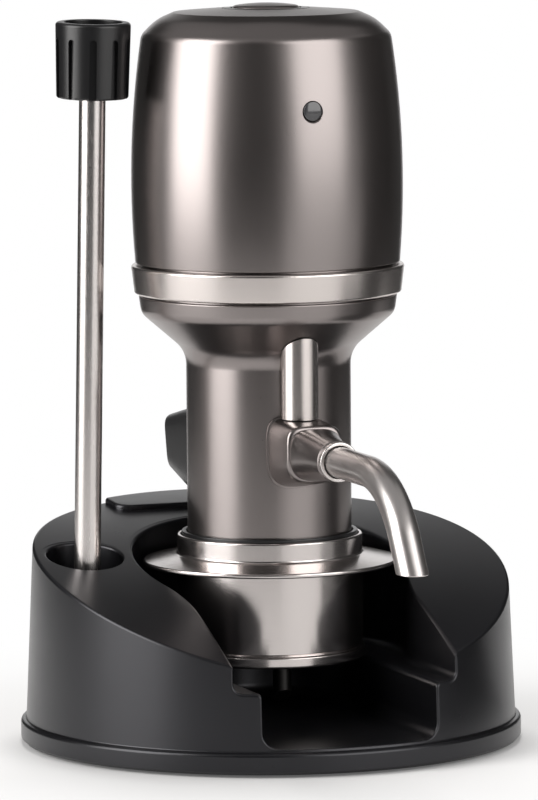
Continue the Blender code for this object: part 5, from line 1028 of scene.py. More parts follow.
def well_rounding(point):
    """The edge's rounding, which grows from the well towards the mouth."""
    share = min(1, max(0, (point.y - MOUTH_BACK) / (MOUTH_FRONT - MOUTH_BACK)))
    return EDGE_ROUNDING + (MOUTH_ROUNDING - EDGE_ROUNDING) * share


def mouth_line():
    """The mouth's edge seen from the front: points, their normals and how full the rounding is."""
    reach = math.sqrt(stand_radius(TOP_FRONT_HEIGHT) ** 2 - CHANNEL_HALF_WIDTH**2)
    top = top_height(-reach)
    flat = GUTTER_HALF_WIDTH - GUTTER_FILLET
    bend = rounded(
        [
            (0, GUTTER_HEIGHT, 0),
            (GUTTER_HALF_WIDTH, GUTTER_HEIGHT, GUTTER_FILLET),
            (GUTTER_HALF_WIDTH, LEDGE_HEIGHT, GUTTER_ROUNDING),
            (CHANNEL_HALF_WIDTH, LEDGE_HEIGHT, LEDGE_FILLET),
            (CHANNEL_HALF_WIDTH, top, MOUTH_ROUNDING),
            (CHANNEL_HALF_WIDTH + MOUTH_ROUNDING * 2, top, 0),
        ],
        steps=8,
    )
    floor = [(flat * step / CHANNEL_STEPS, GUTTER_HEIGHT) for step in range(CHANNEL_STEPS)]
    over = CHANNEL_HALF_WIDTH + MOUTH_ROUNDING * FLARE_REACH
    above = [(over, top + MOUTH_ROUNDING * 0.25), (over, top + CLEAR_ABOVE)]
    path = [Vector(point) for point in [*floor, *bend[1:-1], *above]]
    line = []
    for index, point in enumerate(path):
        along = path[min(index + 1, len(path) - 1)] - path[max(index - 1, 0)]
        along.normalize()
        full = min(1, max(0, (top - point.y) / MOUTH_ROUNDING))
        rise = min(1, max(0, (point.y - GUTTER_HEIGHT) / GUTTER_FILLET))
        size = full * (LIP_EDGE + (MOUTH_EDGE - LIP_EDGE) * rise)
        on_top = point.y > LEDGE_HEIGHT + LEDGE_FILLET * 1.1
        line.append((point, Vector((along.y, -along.x)), full, size, on_top))
    return line, -reach, top


def mouth_cutter():
    """A cutter that rounds the edge where channel and gutter run out through the outer wall."""
    line, front, top = mouth_line()

    def ring(grow=0.0, sink=0.0, depth=0.0, spare=0.0, flat=None):
        """The mouth's line grown by its rounding and sunk below the wall, or set at one flat depth."""
        right = []
        for point, normal, full, size, on_top in line:
            spot = point + normal * (grow * size + spare - MOUTH_SLACK * (1 - full))
            across, level = max(0, spot.x), spot.y
            y = front if flat is None else flat
            for _ in range(4):
                level = spot.y + (top_height(y) - top if on_top else 0)
                if flat is None:
                    y = -math.sqrt((stand_radius(level) - sink * size - depth) ** 2 - across**2)
            right.append((across, y, level))
        left = [(-x, y, z) for x, y, z in reversed(right[1:])]
        return [*right, *left]

    rings = [ring(spare=-GAP, flat=MOUTH_INSIDE), ring(depth=MOUTH_DEPTH, spare=-GAP * 2 / 3)]
    rings += [ring(grow=out, sink=drop) for out, drop in edge_arc(6)]
    rings.append(ring(grow=1, depth=-GAP * 2, spare=GAP * 2 / 3))
    rings.append(ring(grow=1, spare=GAP * 2 / 3, flat=-FLANGE_RADIUS - RUN_PAST))
    return lofted("mouth_edge", rings)


def make_stand():
    stand = stand_blank()
    well = sunk_cutter("well", well_outline(), LEDGE_HEIGHT, LEDGE_FILLET, top_at, well_rounding)
    gutter = sunk_cutter(
        "gutter",
        gutter_outline(),
        GUTTER_HEIGHT,
        GUTTER_FILLET,
        lambda point: LEDGE_HEIGHT,
        lambda point: GUTTER_ROUNDING,
    )
    last = SMALL_ROUND_STEPS - 1
    hole_outline = arc(TUBE_PLACE, TUBE_HOLE_RADIUS, 0, math.tau * last / SMALL_ROUND_STEPS, last)
    hole = sunk_cutter(
        "tube_hole", hole_outline, TUBE_HOLE_FLOOR, GAP, top_at, lambda point: TUBE_HOLE_ROUNDING
    )
    socket = cylinder("tube_socket", TUBE_SOCKET_RADIUS, TUBE_SOCKET_FLOOR, TUBE_HOLE_FLOOR + GAP * 2)
    moved(socket, Matrix.Translation((TUBE_PLACE.x, TUBE_PLACE.y, 0)))
    cut(stand, well, gutter, hole, socket, mouth_cutter())
    stand = joined("stand_moulding", stand, back_pad())
    dress(stand, STAND_PLASTIC, "stand", "black_plastic", "stand_body")


def back_pad():
    """The low bare pad at the back of the top, with soft edges."""
    reach = stand_radius(TOP_BACK_HEIGHT) - PAD_INSET
    front = rounded(
        [
            (PAD_HALF_WIDTH, math.sqrt(reach**2 - PAD_HALF_WIDTH**2), 0),
            (PAD_HALF_WIDTH, PAD_FRONT, PAD_CORNER),
            (-PAD_HALF_WIDTH, PAD_FRONT, PAD_CORNER),
            (-PAD_HALF_WIDTH, math.sqrt(reach**2 - PAD_HALF_WIDTH**2), 0),
        ],
        steps=10,
    )
    start = math.acos(-PAD_HALF_WIDTH / reach)
    back = arc((0, 0), reach, start, math.pi - start, 28)[1:-1]
    outline = [Vector(point) for point in [*front, *back]]
    middle = sum(outline, Vector((0, 0))) / len(outline)
    round_off = EDGE_ROUNDING
    sections = [(0, -PAD_SINK), (0, PAD_HEIGHT - round_off)]
    for inward, drop in edge_arc(4)[1:]:
        sections.append((round_off * inward, PAD_HEIGHT - round_off * drop))

    def over_top(spots, rise):
        return [(spot.x, spot.y, top_height(spot.y) + rise) for spot in spots]

    rings = [
        over_top([point + (middle - point).normalized() * inward for point in outline], rise)
        for inward, rise in sections
    ]
    rings += [
        over_top([middle + (point - middle) * share for point in outline], PAD_HEIGHT)
        for share in PAD_SHARES
    ]
    return lofted("back_pad", rings)


# Suction tube and cap


def open_tree(name, inputs):
    """A node tree with these named inputs and one geometry output."""
    tree = bpy.data.node_groups.new(name, "GeometryNodeTree")
    for label, kind in {**inputs, "Finish": "Material"}.items():
        tree.interface.new_socket(label, in_out="INPUT", socket_type="NodeSocket" + kind)
    tree.interface.new_socket("Geometry", in_out="OUTPUT", socket_type="NodeSocketGeometry")
    return tree, tree.nodes.new("NodeGroupInput"), tree.nodes.new("NodeGroupOutput")


def close_tree(tree, entry, leave, shape):
    """The tree's end: instances made real, and the finish set."""
    real = tree.nodes.new("GeometryNodeRealizeInstances")
    paint = tree.nodes.new("GeometryNodeSetMaterial")
    tree.links.new(shape, real.inputs["Geometry"])
    tree.links.new(real.outputs["Geometry"], paint.inputs["Geometry"])
    tree.links.new(entry.outputs["Finish"], paint.inputs["Material"])
    tree.links.new(paint.outputs["Geometry"], leave.inputs["Geometry"])
    return tree


def coil_tree():
    """Geometry nodes for a coil spring: named turns, radius, height and wire."""
    inputs = {"Turns": "Float", "Radius": "Float", "Height": "Float", "Wire Radius": "Float"}
    tree, entry, leave = open_tree("coil_spring", inputs)
    coil = tree.nodes.new("GeometryNodeCurveSpiral")
    coil.inputs["Resolution"].default_value = COIL_STEPS
    wire = tree.nodes.new("GeometryNodeCurvePrimitiveCircle")
    wire.inputs["Resolution"].default_value = WIRE_STEPS
    body = tree.nodes.new("GeometryNodeCurveToMesh")
    body.inputs["Fill Caps"].default_value = True
    join = tree.links.new
    join(entry.outputs["Turns"], coil.inputs["Rotations"])
    join(entry.outputs["Radius"], coil.inputs["Start Radius"])
    join(entry.outputs["Radius"], coil.inputs["End Radius"])
    join(entry.outputs["Height"], coil.inputs["Height"])
    join(entry.outputs["Wire Radius"], wire.inputs["Radius"])
    join(coil.outputs["Curve"], body.inputs["Curve"])
    join(wire.outputs["Curve"], body.inputs["Profile Curve"])
    return close_tree(tree, entry, leave, body.outputs["Mesh"])


def ring_tree():
    """Geometry nodes that set copies of one shape round a circle: named count and shape."""
    inputs = {"Count": "Int", "Radius": "Float", "Shape": "Object"}
    tree, entry, leave = open_tree("ring_of_shapes", inputs)
    line = tree.nodes.new("GeometryNodeMeshCircle")
    shape = tree.nodes.new("GeometryNodeObjectInfo")
    outward = tree.nodes.new("GeometryNodeInputPosition")
    aim = tree.nodes.new("FunctionNodeAlignRotationToVector")
    aim.axis = "X"
    aim.pivot_axis = "Z"
    copies = tree.nodes.new("GeometryNodeInstanceOnPoints")
    join = tree.links.new
    join(entry.outputs["Count"], line.inputs["Vertices"])
    join(entry.outputs["Radius"], line.inputs["Radius"])
    join(entry.outputs["Shape"], shape.inputs["Object"])
    join(outward.outputs["Position"], aim.inputs["Vector"])
    join(line.outputs["Mesh"], copies.inputs["Points"])
    join(shape.outputs["Geometry"], copies.inputs["Instance"])
    join(aim.outputs["Rotation"], copies.inputs["Rotation"])
    return close_tree(tree, entry, leave, copies.outputs["Instances"])


def grown(name, tree, **values):
    """A plain mesh object made by a node tree with these named inputs."""
    item = placed(name, bpy.data.meshes.new(name))
    step = item.modifiers.new("nodes", "NODES")
    step.node_group = tree
    wanted = {key.replace("_", " "): value for key, value in values.items()}
    for entry in tree.interface.items_tree:
        if entry.in_out == "INPUT":
            step[entry.identifier] = wanted[entry.name]
    return settle(item)


def flute():
    """One round-topped flute standing at the start of the cap's ring."""
    head = FLUTE_HEIGHT - FLUTE_HALF_WIDTH
    top = arc((0, head), FLUTE_HALF_WIDTH, 0, math.pi, 10)
    outline = [(FLUTE_HALF_WIDTH, -RUN_PAST), *top, (-FLUTE_HALF_WIDTH, -RUN_PAST)]
    depth = FLUTE_DEPTH + CAP_TOP_RADIUS - CAP_FOOT_RADIUS
    return moved(prism("flute", outline, -FLUTE_DEPTH, depth + RUN_PAST), ACROSS)


def make_tube_and_cap(rings):
    corners = [
        (TUBE_BORE, TUBE_HEAD, CRISP_EDGE),
        (TUBE_COLLAR_RADIUS, TUBE_HEAD, SOFT_EDGE),
        (TUBE_COLLAR_RADIUS, TUBE_HEAD - TUBE_COLLAR_HEIGHT, SOFT_EDGE),
        (TUBE_RADIUS, TUBE_HEAD - TUBE_COLLAR_HEIGHT, 0),
        (TUBE_RADIUS, TUBE_FOOT, FINE_EDGE),
        (TUBE_BORE, TUBE_FOOT, FINE_EDGE),
    ]
    tube = turned_ring("suction_pipe", corners, SMALL_ROUND_STEPS, 3)
    dress(moved(tube, TUBE_FRAME), STEEL_TUBE, "suction_tube", "brushed_steel", "suction_tube")
    top = CAP_FOOT + CAP_HEIGHT
    corners = [
        (CAP_BORE, top, SOFT_EDGE),
        (CAP_TOP_RADIUS, top, CAP_TOP_EDGE),
        (CAP_FOOT_RADIUS, CAP_FOOT, FULL_EDGE),
        (TUBE_RADIUS + GAP, CAP_FOOT, FINE_EDGE),
        (TUBE_RADIUS + GAP, CAP_FOOT + CAP_FLOOR, 0),
        (CAP_BORE, CAP_FOOT + CAP_FLOOR, ROUND_EDGE),
    ]
    cap = turned_ring("fluted_cap", corners, CAP_STEPS, FILLET_STEPS)
    blank = flute()
    flutes = grown(
        "flutes", rings, Count=FLUTE_COUNT, Radius=CAP_FOOT_RADIUS, Shape=blank, Finish=CAP_PLASTIC
    )
    bpy.data.objects.remove(blank, do_unlink=True)
    moved(flutes, Matrix.Translation((0, 0, CAP_FOOT)))
    cut(cap, flutes)
    fine_edges(cap, CAP_SOFT_EDGE, 3, 40)
    dress(moved(cap, TUBE_FRAME), CAP_PLASTIC, "connector_cap", "black_plastic", "connector_cap")


# Drip cup


def make_cup():
    profile = rounded(
        [
            (0, CUP_FOOT + CUP_WALL, 0),
            (CUP_BORE, CUP_FOOT + CUP_WALL, CUP_FLOOR_FILLET),
            (CUP_BORE, CUP_TOP, SOFT_EDGE),
            (CUP_RADIUS, CUP_TOP, CUP_LIP_EDGE),
            (CUP_RADIUS, SAUCER_ROOT, FULL_EDGE),
            (SAUCER_RADIUS, SAUCER_RIM, SAUCER_RIM_EDGE),
            (SAUCER_RADIUS, SAUCER_RIM - SAUCER_EDGE, SAUCER_RIM_EDGE),
            (SAUCER_RADIUS - CUP_WALL, SAUCER_RIM - SAUCER_EDGE, SOFT_EDGE),
            (CUP_RADIUS, SAUCER_ROOT - CUP_WALL, ROUND_EDGE),
            (CUP_RADIUS, CUP_GROOVE + GROOVE_HALF_HEIGHT, SOFT_EDGE),
            (CUP_RADIUS - GROOVE_DEPTH, CUP_GROOVE, GROOVE_EDGE),
            (CUP_BEAD_RADIUS, CUP_GROOVE - GROOVE_HALF_HEIGHT, SOFT_EDGE),
            (CUP_BEAD_RADIUS, CUP_FOOT, CUP_BEAD_EDGE),
            (0, CUP_FOOT, 0),
        ],
        steps=4,
    )
    cup = turned("spun_cup", profile)
    spigot = cylinder("drain", DRAIN_RADIUS, DRAIN_FOOT, CUP_FOOT + DRAIN_OVERLAP, DRAIN_STEPS)
    bore = cylinder("drain_bore", DRAIN_BORE, *DRAIN_CUT, DRAIN_STEPS)
    across = Matrix.Translation((0, DRAIN_PLACE_Y, 0))
    unite(cup, moved(spigot, across))
    slant = slab("drain_slant", DRAIN_RADIUS * 2, (-RUN_PAST, RUN_PAST), (-RUN_PAST, 0))
    place = Matrix.Translation((0, DRAIN_PLACE_Y, DRAIN_FOOT + DRAIN_BORE))
    cut(cup, moved(bore, across), moved(slant, place @ Matrix.Rotation(DRAIN_SLANT, 4, "X")))
    dress(cup, STEEL_CUP, "drip_cup", "brushed_steel", "drip_cup")
    # The spigot's faces below the cup's foot get the near-black steel: painted shade where the spigot
    # sits in shadow
    cup.data.materials.append(DRAIN_SHADE_STEEL)
    for face in cup.data.polygons:
        if face.center.z < CUP_FOOT - GAP and face.center.xy.length < CUP_BORE - DRAIN_RADIUS:
            face.material_index = 1


def make_insert():
    low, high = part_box("cup_insert")
    outer, bore = high.x, NECK_RADIUS + LINER_PLAY
    inner = NECK_RADIUS - LINER_SEAT_WIDTH
    seat = NECK_FOOT - GAP
    corners = [
        (bore, LINER_TOP, SOFT_EDGE),
        (outer, LINER_TOP, ROUND_EDGE),
        (outer, low.z, SOFT_EDGE),
        (inner, low.z, SOFT_EDGE),
        (inner, seat, SOFT_EDGE),
        (bore, seat, FINE_EDGE),
    ]
    insert = turned_ring("cup_liner", corners, LINER_STEPS, 3)
    dress(insert, CAP_PLASTIC, "drip_cup", "black_plastic", "cup_insert")


# Aerator shells


def inset(points, distance):
    """A line of points moved to the right of its own direction, with mitred corners."""
    path = [Vector(point) for point in points]
    made = []
    for index, point in enumerate(path):
        sides = []
        if index > 0:
            sides.append((point - path[index - 1]).normalized())
        if index < len(path) - 1:
            sides.append((path[index + 1] - point).normalized())
        normals = [Vector((side.y, -side.x)) for side in sides]
        middle = sum(normals, Vector((0, 0))).normalized()
        made.append(tuple(point + middle * (distance / middle.dot(normals[0]))))
    return made


FLARE_CORNERS = [
    (FLARE_RIM_RADIUS, BAND_FOOT - SEAM),
    (FLARE_TOP_RADIUS, FLARE_TOP),
    (NECK_RADIUS, FLARE_FOOT),
    (NECK_RADIUS, NECK_FOOT),
]


def flare_line(corners, steps=10):
    return rounded([(*corner, fillet) for corner, fillet in zip(corners, FLARE_FILLETS)], steps=steps)


def housing_solid(name, grow):
    outer = flare_line(inset(FLARE_CORNERS, -grow))
    return turned(name, [(0, outer[0][1]), *outer, (0, outer[-1][1])])


def make_housing():
    outer = flare_line(FLARE_CORNERS)
    inner = flare_line(inset(FLARE_CORNERS, NECK_WALL), 6)
    joint_bore = JOINT_RADIUS - NECK_WALL
    inner_flare = [point for point in inner if point[0] < joint_bore]
    rim = rounded([(JOINT_RADIUS, outer[0][1], 0), (*outer[0], ROUND_EDGE), (*outer[1], 0)], steps=4)
    foot = rounded(
        [
            (NECK_RADIUS, NECK_ROW, 0),
            (NECK_RADIUS, NECK_FOOT, FULL_EDGE),
            (NECK_RADIUS - NECK_WALL, NECK_FOOT, 0),
        ]
    )
    profile = [
        (joint_bore, JOINT_TOP),
        (JOINT_RADIUS, JOINT_TOP),
        *rim[:-1],
        *outer[1:-1],
        *foot[:-1],
        *reversed(inner_flare),
        (joint_bore, FLARE_TOP),
    ]
    housing = turned("lower_housing", profile, ROUND_STEPS, True)
    cut(housing, slab("pawl_slot", PAWL_SLOT_HALF_WIDTH, PAWL_SLOT_DEPTH, PAWL_SLOT_HEIGHT))
    dress(housing, GUNMETAL, "aerator", "gunmetal", "neck_housing")


def make_band():
    bore = JOINT_RADIUS + GAP
    corners = [
        (bore, BAND_TOP, FINE_EDGE),
        (BAND_TOP_RADIUS, BAND_TOP, FULL_EDGE),
        (BAND_FOOT_RADIUS, BAND_FOOT, FULL_EDGE),
        (bore, BAND_FOOT, FINE_EDGE),
    ]
    band = turned_ring("nickel_band", corners, ROUND_STEPS, FILLET_STEPS)
    dress(band, NICKEL, "aerator", "satin_nickel", "trim_band")


def head_radius(height):
    rise = height - HEAD_WAIST
    return HEAD_RADIUS - HEAD_BARREL + math.sqrt(HEAD_BARREL**2 - rise**2)


def crown_height(radius):
    return CROWN_EDGE_HEIGHT + (CROWN_EDGE_RADIUS - radius) * CROWN_SLOPE


def flap_shape(grow, below):
    wide, high = FLAP_HALF_WIDTH + grow, FLAP_HALF_HEIGHT + grow
    low, corner = -FLAP_HALF_HEIGHT - below, FLAP_CORNER + grow
    corners = [(-wide, low, 0), (wide, low, 0), (wide, high, corner), (-wide, high, corner)]
    return rounded(corners, True, 6)


def make_head():
    opening = RING_RADIUS + GAP
    corners = [
        (opening, crown_height(opening)),
        (CROWN_EDGE_RADIUS, CROWN_EDGE_HEIGHT),
        (KNEE_RADIUS, KNEE_HEIGHT),
        (head_radius(HEAD_SHOULDER), HEAD_SHOULDER),
        (head_radius(HEAD_FOOT), HEAD_FOOT),
    ]
    fillets = (HEAD_OPENING_EDGE, CROWN_EDGE_FILLET, KNEE_FILLET, SHOULDER_FILLET)
    outer = [(*corner, fillet) for corner, fillet in zip(corners, fillets)]
    side = []
    top = HEAD_SHOULDER - SHOULDER_FILLET
    for step in range(HEAD_SIDE_STEPS):
        height = top + (HEAD_FOOT - top) * step / HEAD_SIDE_STEPS
        side.append((head_radius(height), height, 0))
    side.append((*corners[-1], ROUND_EDGE))
    inner_fillets = (0, 0, KNEE_FILLET - HEAD_WALL, SHOULDER_FILLET - HEAD_WALL, FINE_EDGE)
    inner = [(*corner, fillet) for corner, fillet in zip(inset(corners, HEAD_WALL), inner_fillets)]
    inner[-1] = (inner[-1][0], HEAD_FOOT, inner[-1][2])
    inner[0] = (opening, inner[0][1], 0)
    outline = rounded([*outer, *side, *reversed(inner)], closed=True, steps=10)
    shell = turned("head_cover", outline, ROUND_STEPS, True)
    unite(shell, slab("port_block", PORT_BLOCK_HALF_WIDTH, PORT_BLOCK_DEPTH, PORT_BLOCK_HEIGHT))
    floor = FLAP_FACE - FLAP_HALF_THICKNESS * 2 - GAP
    recess = prism("port_recess", flap_shape(GAP, GAP), floor, HEAD_OUTSIDE)
    wide, high = PORT_MOUTH_HALF_WIDTH, PORT_MOUTH_HALF_HEIGHT
    corners = [(-wide, -high), (wide, -high), (wide, high), (-wide, high)]
    outline = rounded([(*corner, PORT_MOUTH_CORNER) for corner in corners], True)
    mouth = prism("port_mouth", outline, HEAD_INSIDE, HEAD_OUTSIDE)
    face = head_radius(LENS_HEIGHT)
    lens_bore = LENS_RADIUS + GAP / 2
    wide = lens_bore + LENS_CHAMFER_REACH
    lens_hole = turned(
        "lens_hole",
        [
            (0, HEAD_INSIDE),
            (lens_bore, HEAD_INSIDE),
            (lens_bore, face - LENS_CHAMFER_DEPTH),
            (wide, face + LENS_CHAMFER_DEPTH),
            (wide, HEAD_OUTSIDE),
            (0, HEAD_OUTSIDE),
        ],
        SMALL_ROUND_STEPS,
    )
    cut(
        shell,
        facing_back(recess, PORT_HEIGHT),
        facing_back(mouth, PORT_HEIGHT),
        facing_front(lens_hole, LENS_HEIGHT),
    )
    dress(shell, GUNMETAL, "aerator", "gunmetal", "head_shell")


def make_lens():
    face = head_radius(LENS_HEIGHT) + LENS_PROUD
    dome = [(LENS_RADIUS * share, face - drop) for share, drop in LENS_DOME]
    back = face - LENS_FLANGE
    rim = (LENS_RADIUS, face - LENS_PROUD, FINE_EDGE)
    edge = rounded([(*dome[-1], 0), rim, (LENS_RADIUS, back, 0)])
    stem = [(LENS_STEM_RADIUS, back), (LENS_STEM_RADIUS, face - LENS_STEM), (0, face - LENS_STEM)]
    profile = [*dome, *edge[1:], *stem]
    lens = facing_front(turned("light_lens", profile, SMALL_ROUND_STEPS), LENS_HEIGHT)
    dress(lens, LENS, "aerator", "lens_grey", "led_lens")


def make_button_and_ring():
    _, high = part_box("power_button")
    centre = high.z - BUTTON_DOME
    end = math.acos(BUTTON_DOME_REACH / BUTTON_DOME)
    dome = arc((0, centre), BUTTON_DOME, math.pi / 2, end, 12)
    edge = centre + math.sqrt(BUTTON_DOME**2 - BUTTON_RADIUS**2)
    foot = high.z - BUTTON_SKIRT_TOP - GAP * 3
    rim = rounded([(*dome[-1], 0), (BUTTON_RADIUS, edge, BUTTON_EDGE), (BUTTON_RADIUS, foot, 0)])
    button = turned("push_button", [(0, high.z), *dome[1:], *rim[1:], (0, foot)], BUTTON_STEPS)
    skirt = placed("button_skirt", nodes["power_button"].data.copy())
    work = bmesh.new()
    work.from_mesh(skirt.data)
    bmesh.ops.remove_doubles(work, verts=work.verts, dist=WELD)
    bmesh.ops.bisect_plane(
        work,
        geom=[*work.verts, *work.edges, *work.faces],
        plane_co=(0, 0, high.z - BUTTON_SKIRT_TOP),
        plane_no=(0, 0, 1),
        clear_outer=True,
    )
    bmesh.ops.holes_fill(work, edges=[e for e in work.edges if e.is_boundary])
    work.to_mesh(skirt.data)
    work.free()
    button = joined("push_button", button, skirt)
    dress(button, GUNMETAL, "power_button", "gunmetal", "power_button")
    ring_low, ring_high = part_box("button_ring")
    seat = ring_low.z + RING_STEP
    inner = BUTTON_RADIUS + RING_SEAT_REACH
    corners = [
        (RING_BORE, crown_height(RING_BORE), RING_TOP_EDGE),
        (RING_RADIUS, crown_height(RING_RADIUS), SOFT_EDGE),
        (RING_RADIUS, seat, 0),
        (ring_high.x, seat, CRISP_EDGE),
        (ring_high.x, ring_low.z, CRISP_EDGE),
        (inner, ring_low.z, 0),
        (inner, seat + GAP, 0),
        (RING_BORE, seat + GAP, CRISP_EDGE),
    ]
    bezel = turned_ring("button_bezel", corners, BUTTON_STEPS, 4)
    dress(bezel, DARK_METAL, "aerator", "dark_metal", "button_ring")


def make_flap():
    """The charging port's rubber flap, with a finger lip and softened edges."""
    half = FLAP_HALF_THICKNESS
    middle = FLAP_FACE - half
    hinge = PORT_HEIGHT - FLAP_HALF_HEIGHT + half
    top = PORT_HEIGHT + FLAP_HALF_HEIGHT
    lower = arc((middle, hinge), half, math.pi, math.tau, 12)
    outline = [*lower, (FLAP_FACE, top), (FLAP_FACE - half * 2, top)]
    flap = moved(prism("rubber_flap", outline, -FLAP_HALF_WIDTH, FLAP_HALF_WIDTH), ACROSS)
    shape = prism("flap_trim", flap_shape(0, RUN_PAST), HEAD_INSIDE, HEAD_OUTSIDE)
    combine(flap, "INTERSECT", facing_back(shape, PORT_HEIGHT))
    fine_edges(flap, FLAP_SOFT_EDGE, 2, 50)
    dress(flap, BLACK_RUBBER, "port_flap", "black_rubber", "port_flap")


# Spout


def boss_ring(distance, half_width, half_height, squareness, drop=0):
    outline = squircle(half_width, half_height, squareness, BOSS_STEPS, BOSS_UNDERSIDE)
    return [(x, -distance, SPOUT_HEIGHT - drop + z) for x, z in outline]


def boss_solid(name, grow):
    """A rounded-square block with a softened edge that runs into a round cone."""
    rings = [
        boss_ring(distance, wide + grow, high + grow, BOSS_SQUARENESS, drop)
        for distance, wide, high, drop in BOSS_ROOT
    ]
    wide, high = BOSS_HALF_WIDTH, BOSS_HALF_HEIGHT
    for step, (inward, back) in enumerate(edge_arc(4)[1:], 1):
        tuck = BOSS_LIP * inward * BOSS_LIP_TUCK - grow
        squareness = BOSS_SQUARENESS - BOSS_LIP_SOFTENING * step
        rings.append(boss_ring(BOSS_EDGE - BOSS_LIP * back, wide - tuck, high - tuck, squareness))
    cone = BOSS_MOUTH - BOSS_EDGE
    mouth = BOSS_MOUTH_RADIUS
    for way, size, squareness in CONE_STEPS:
        half_width = wide + (mouth - wide) * size + grow
        half_height = high + (mouth - high) * size + grow
        rings.append(boss_ring(BOSS_EDGE + cone * way, half_width, half_height, squareness))
    mouth += grow
    rings.append(boss_ring(BOSS_MOUTH - SOFT_EDGE, mouth, mouth, 2))
    rings.append(boss_ring(BOSS_MOUTH, mouth - SOFT_EDGE, mouth - SOFT_EDGE, 2))
    return lofted(name, rings)


def make_boss():
    boss = boss_solid("spout_block", 0)
    trim = cylinder("boss_trim", NECK_RADIUS + GAP, *BOSS_HEIGHTS, ROUND_STEPS)
    bore = facing_front(cylinder("boss_bore", SPOUT_RADIUS + GAP, *BOSS_BORE), SPOUT_HEIGHT)
    foot = boss_solid("boss_foot", BOSS_FOOT_GROW)
    reach = NECK_RADIUS + BOSS_FOOT_RISE
    combine(foot, "INTERSECT", cylinder("foot_reach", reach, *BOSS_HEIGHTS, ROUND_STEPS))
    fine_edges(foot, BOSS_FOOT_EDGE, 3, 40)
    unite(boss, foot)
    cut(boss, trim, bore)
    dress(boss, GUNMETAL, "aerator", "gunmetal", "spout_boss")


def make_riser():
    riser = cylinder("half_round_riser", RISER_RADIUS, SPOUT_HEIGHT, RISER_TOP)
    moved(riser, Matrix.Translation((0, -RISER_PLACE, 0)))
    cut(riser, housing_solid("riser_trim", GAP), boss_solid("riser_foot", GAP))
    dress(riser, NICKEL, "aerator", "satin_nickel", "riser_pipe")


def make_nut():
    low = BOSS_MOUTH + GAP
    high = low + NUT_LENGTH
    bore = SPOUT_RADIUS + GAP
    outer = bore + NUT_WALL
    corners = [
        (bore, high, CRISP_EDGE),
        (outer, high, SOFT_EDGE),
        (outer, low, FINE_EDGE),
        (bore, low, CRISP_EDGE),
    ]
    nut = facing_front(turned_ring("spout_collar", corners, SMALL_ROUND_STEPS, 3), SPOUT_HEIGHT)
    dress(nut, STEEL_TUBE, "aerator", "brushed_steel", "spout_nut")


def spout_frames():
    """Places and directions along the spout's centre line."""
    start = BOSS_MOUTH - SPOUT_SEAT
    run = SPOUT_BEND_START - start
    line = [
        ((start + run * step / SPOUT_RUN_STEPS, SPOUT_HEIGHT), 0.0) for step in range(SPOUT_RUN_STEPS)
    ]
    centre = (SPOUT_BEND_START, SPOUT_HEIGHT - SPOUT_BEND_RADIUS)
    for step in range(SPOUT_BEND_STEPS + 1):
        angle = SPOUT_BEND_ANGLE * step / SPOUT_BEND_STEPS
        place = (
            centre[0] + SPOUT_BEND_RADIUS * math.sin(angle),
            centre[1] + SPOUT_BEND_RADIUS * math.cos(angle),
        )
        line.append((place, angle))
    return line


def spout_side(line, radius, turn):
    """Points down one side of the tube at this radius, which ends at its level lip."""
    outside = radius == SPOUT_RADIUS
    side, up = radius * math.cos(turn), radius * math.sin(turn)
    rows = [
        (side, -(place[0] + up * math.sin(angle)), place[1] + up * math.cos(angle))
        for place, angle in line
    ]
    end, tilt = line[-1]
    out_per_fall = math.cos(tilt) / math.sin(tilt)
    first = (end[0] + up * math.sin(tilt), end[1] + up * math.cos(tilt))
    fall = first[1] - SPOUT_TIP_HEIGHT
    lip = SPOUT_LIP if outside else SPOUT_INNER_LIP
    for drop in (fall * 0.25, fall * 0.5, fall * 0.75, fall - lip):
        rows.append((side, -(first[0] + drop * out_per_fall), first[1] - drop))
    inward = radius - lip if outside else radius + lip
    up = inward * math.sin(turn)
    foot = (end[0] + up * math.sin(tilt), end[1] + up * math.cos(tilt))
    reach = foot[0] + (foot[1] - SPOUT_TIP_HEIGHT) * out_per_fall
    rows.append((inward * math.cos(turn), -reach, SPOUT_TIP_HEIGHT))
    return rows


def make_spout():
    """The bent tube, bored through and cut level at its tip."""
    line = spout_frames()
    places = []
    for step in range(SMALL_ROUND_STEPS):
        turn = math.tau * step / SMALL_ROUND_STEPS
        places += spout_side(line, SPOUT_RADIUS, turn)
        places += reversed(spout_side(line, SPOUT_RADIUS - SPOUT_WALL, turn))
    count = len(places) // SMALL_ROUND_STEPS
    spout = add_mesh("bent_spout", places, round_faces(SMALL_ROUND_STEPS, count, count))
    dress(spout, STEEL_SPOUT, "aerator", "brushed_steel", "spout_tube")


# Lock lever


def lever_ring(distance, share, slant, shrink=0.0):
    top = LEVER_ROOT_TOP + (LEVER_TIP_TOP - LEVER_ROOT_TOP) * share
    foot = LEVER_ROOT_FOOT + (LEVER_TIP_FOOT - LEVER_ROOT_FOOT) * share
    wide = LEVER_HALF_WIDTH + (LEVER_TIP_HALF_WIDTH - LEVER_HALF_WIDTH) * share - shrink
    middle, half = (top + foot) / 2, (top - foot) / 2 - shrink
    outline = squircle(wide, half, LEVER_SQUARENESS, LEVER_STEPS)
    return [(x, distance - slant * (1 - z / half) / 2, middle + z) for x, z in outline]


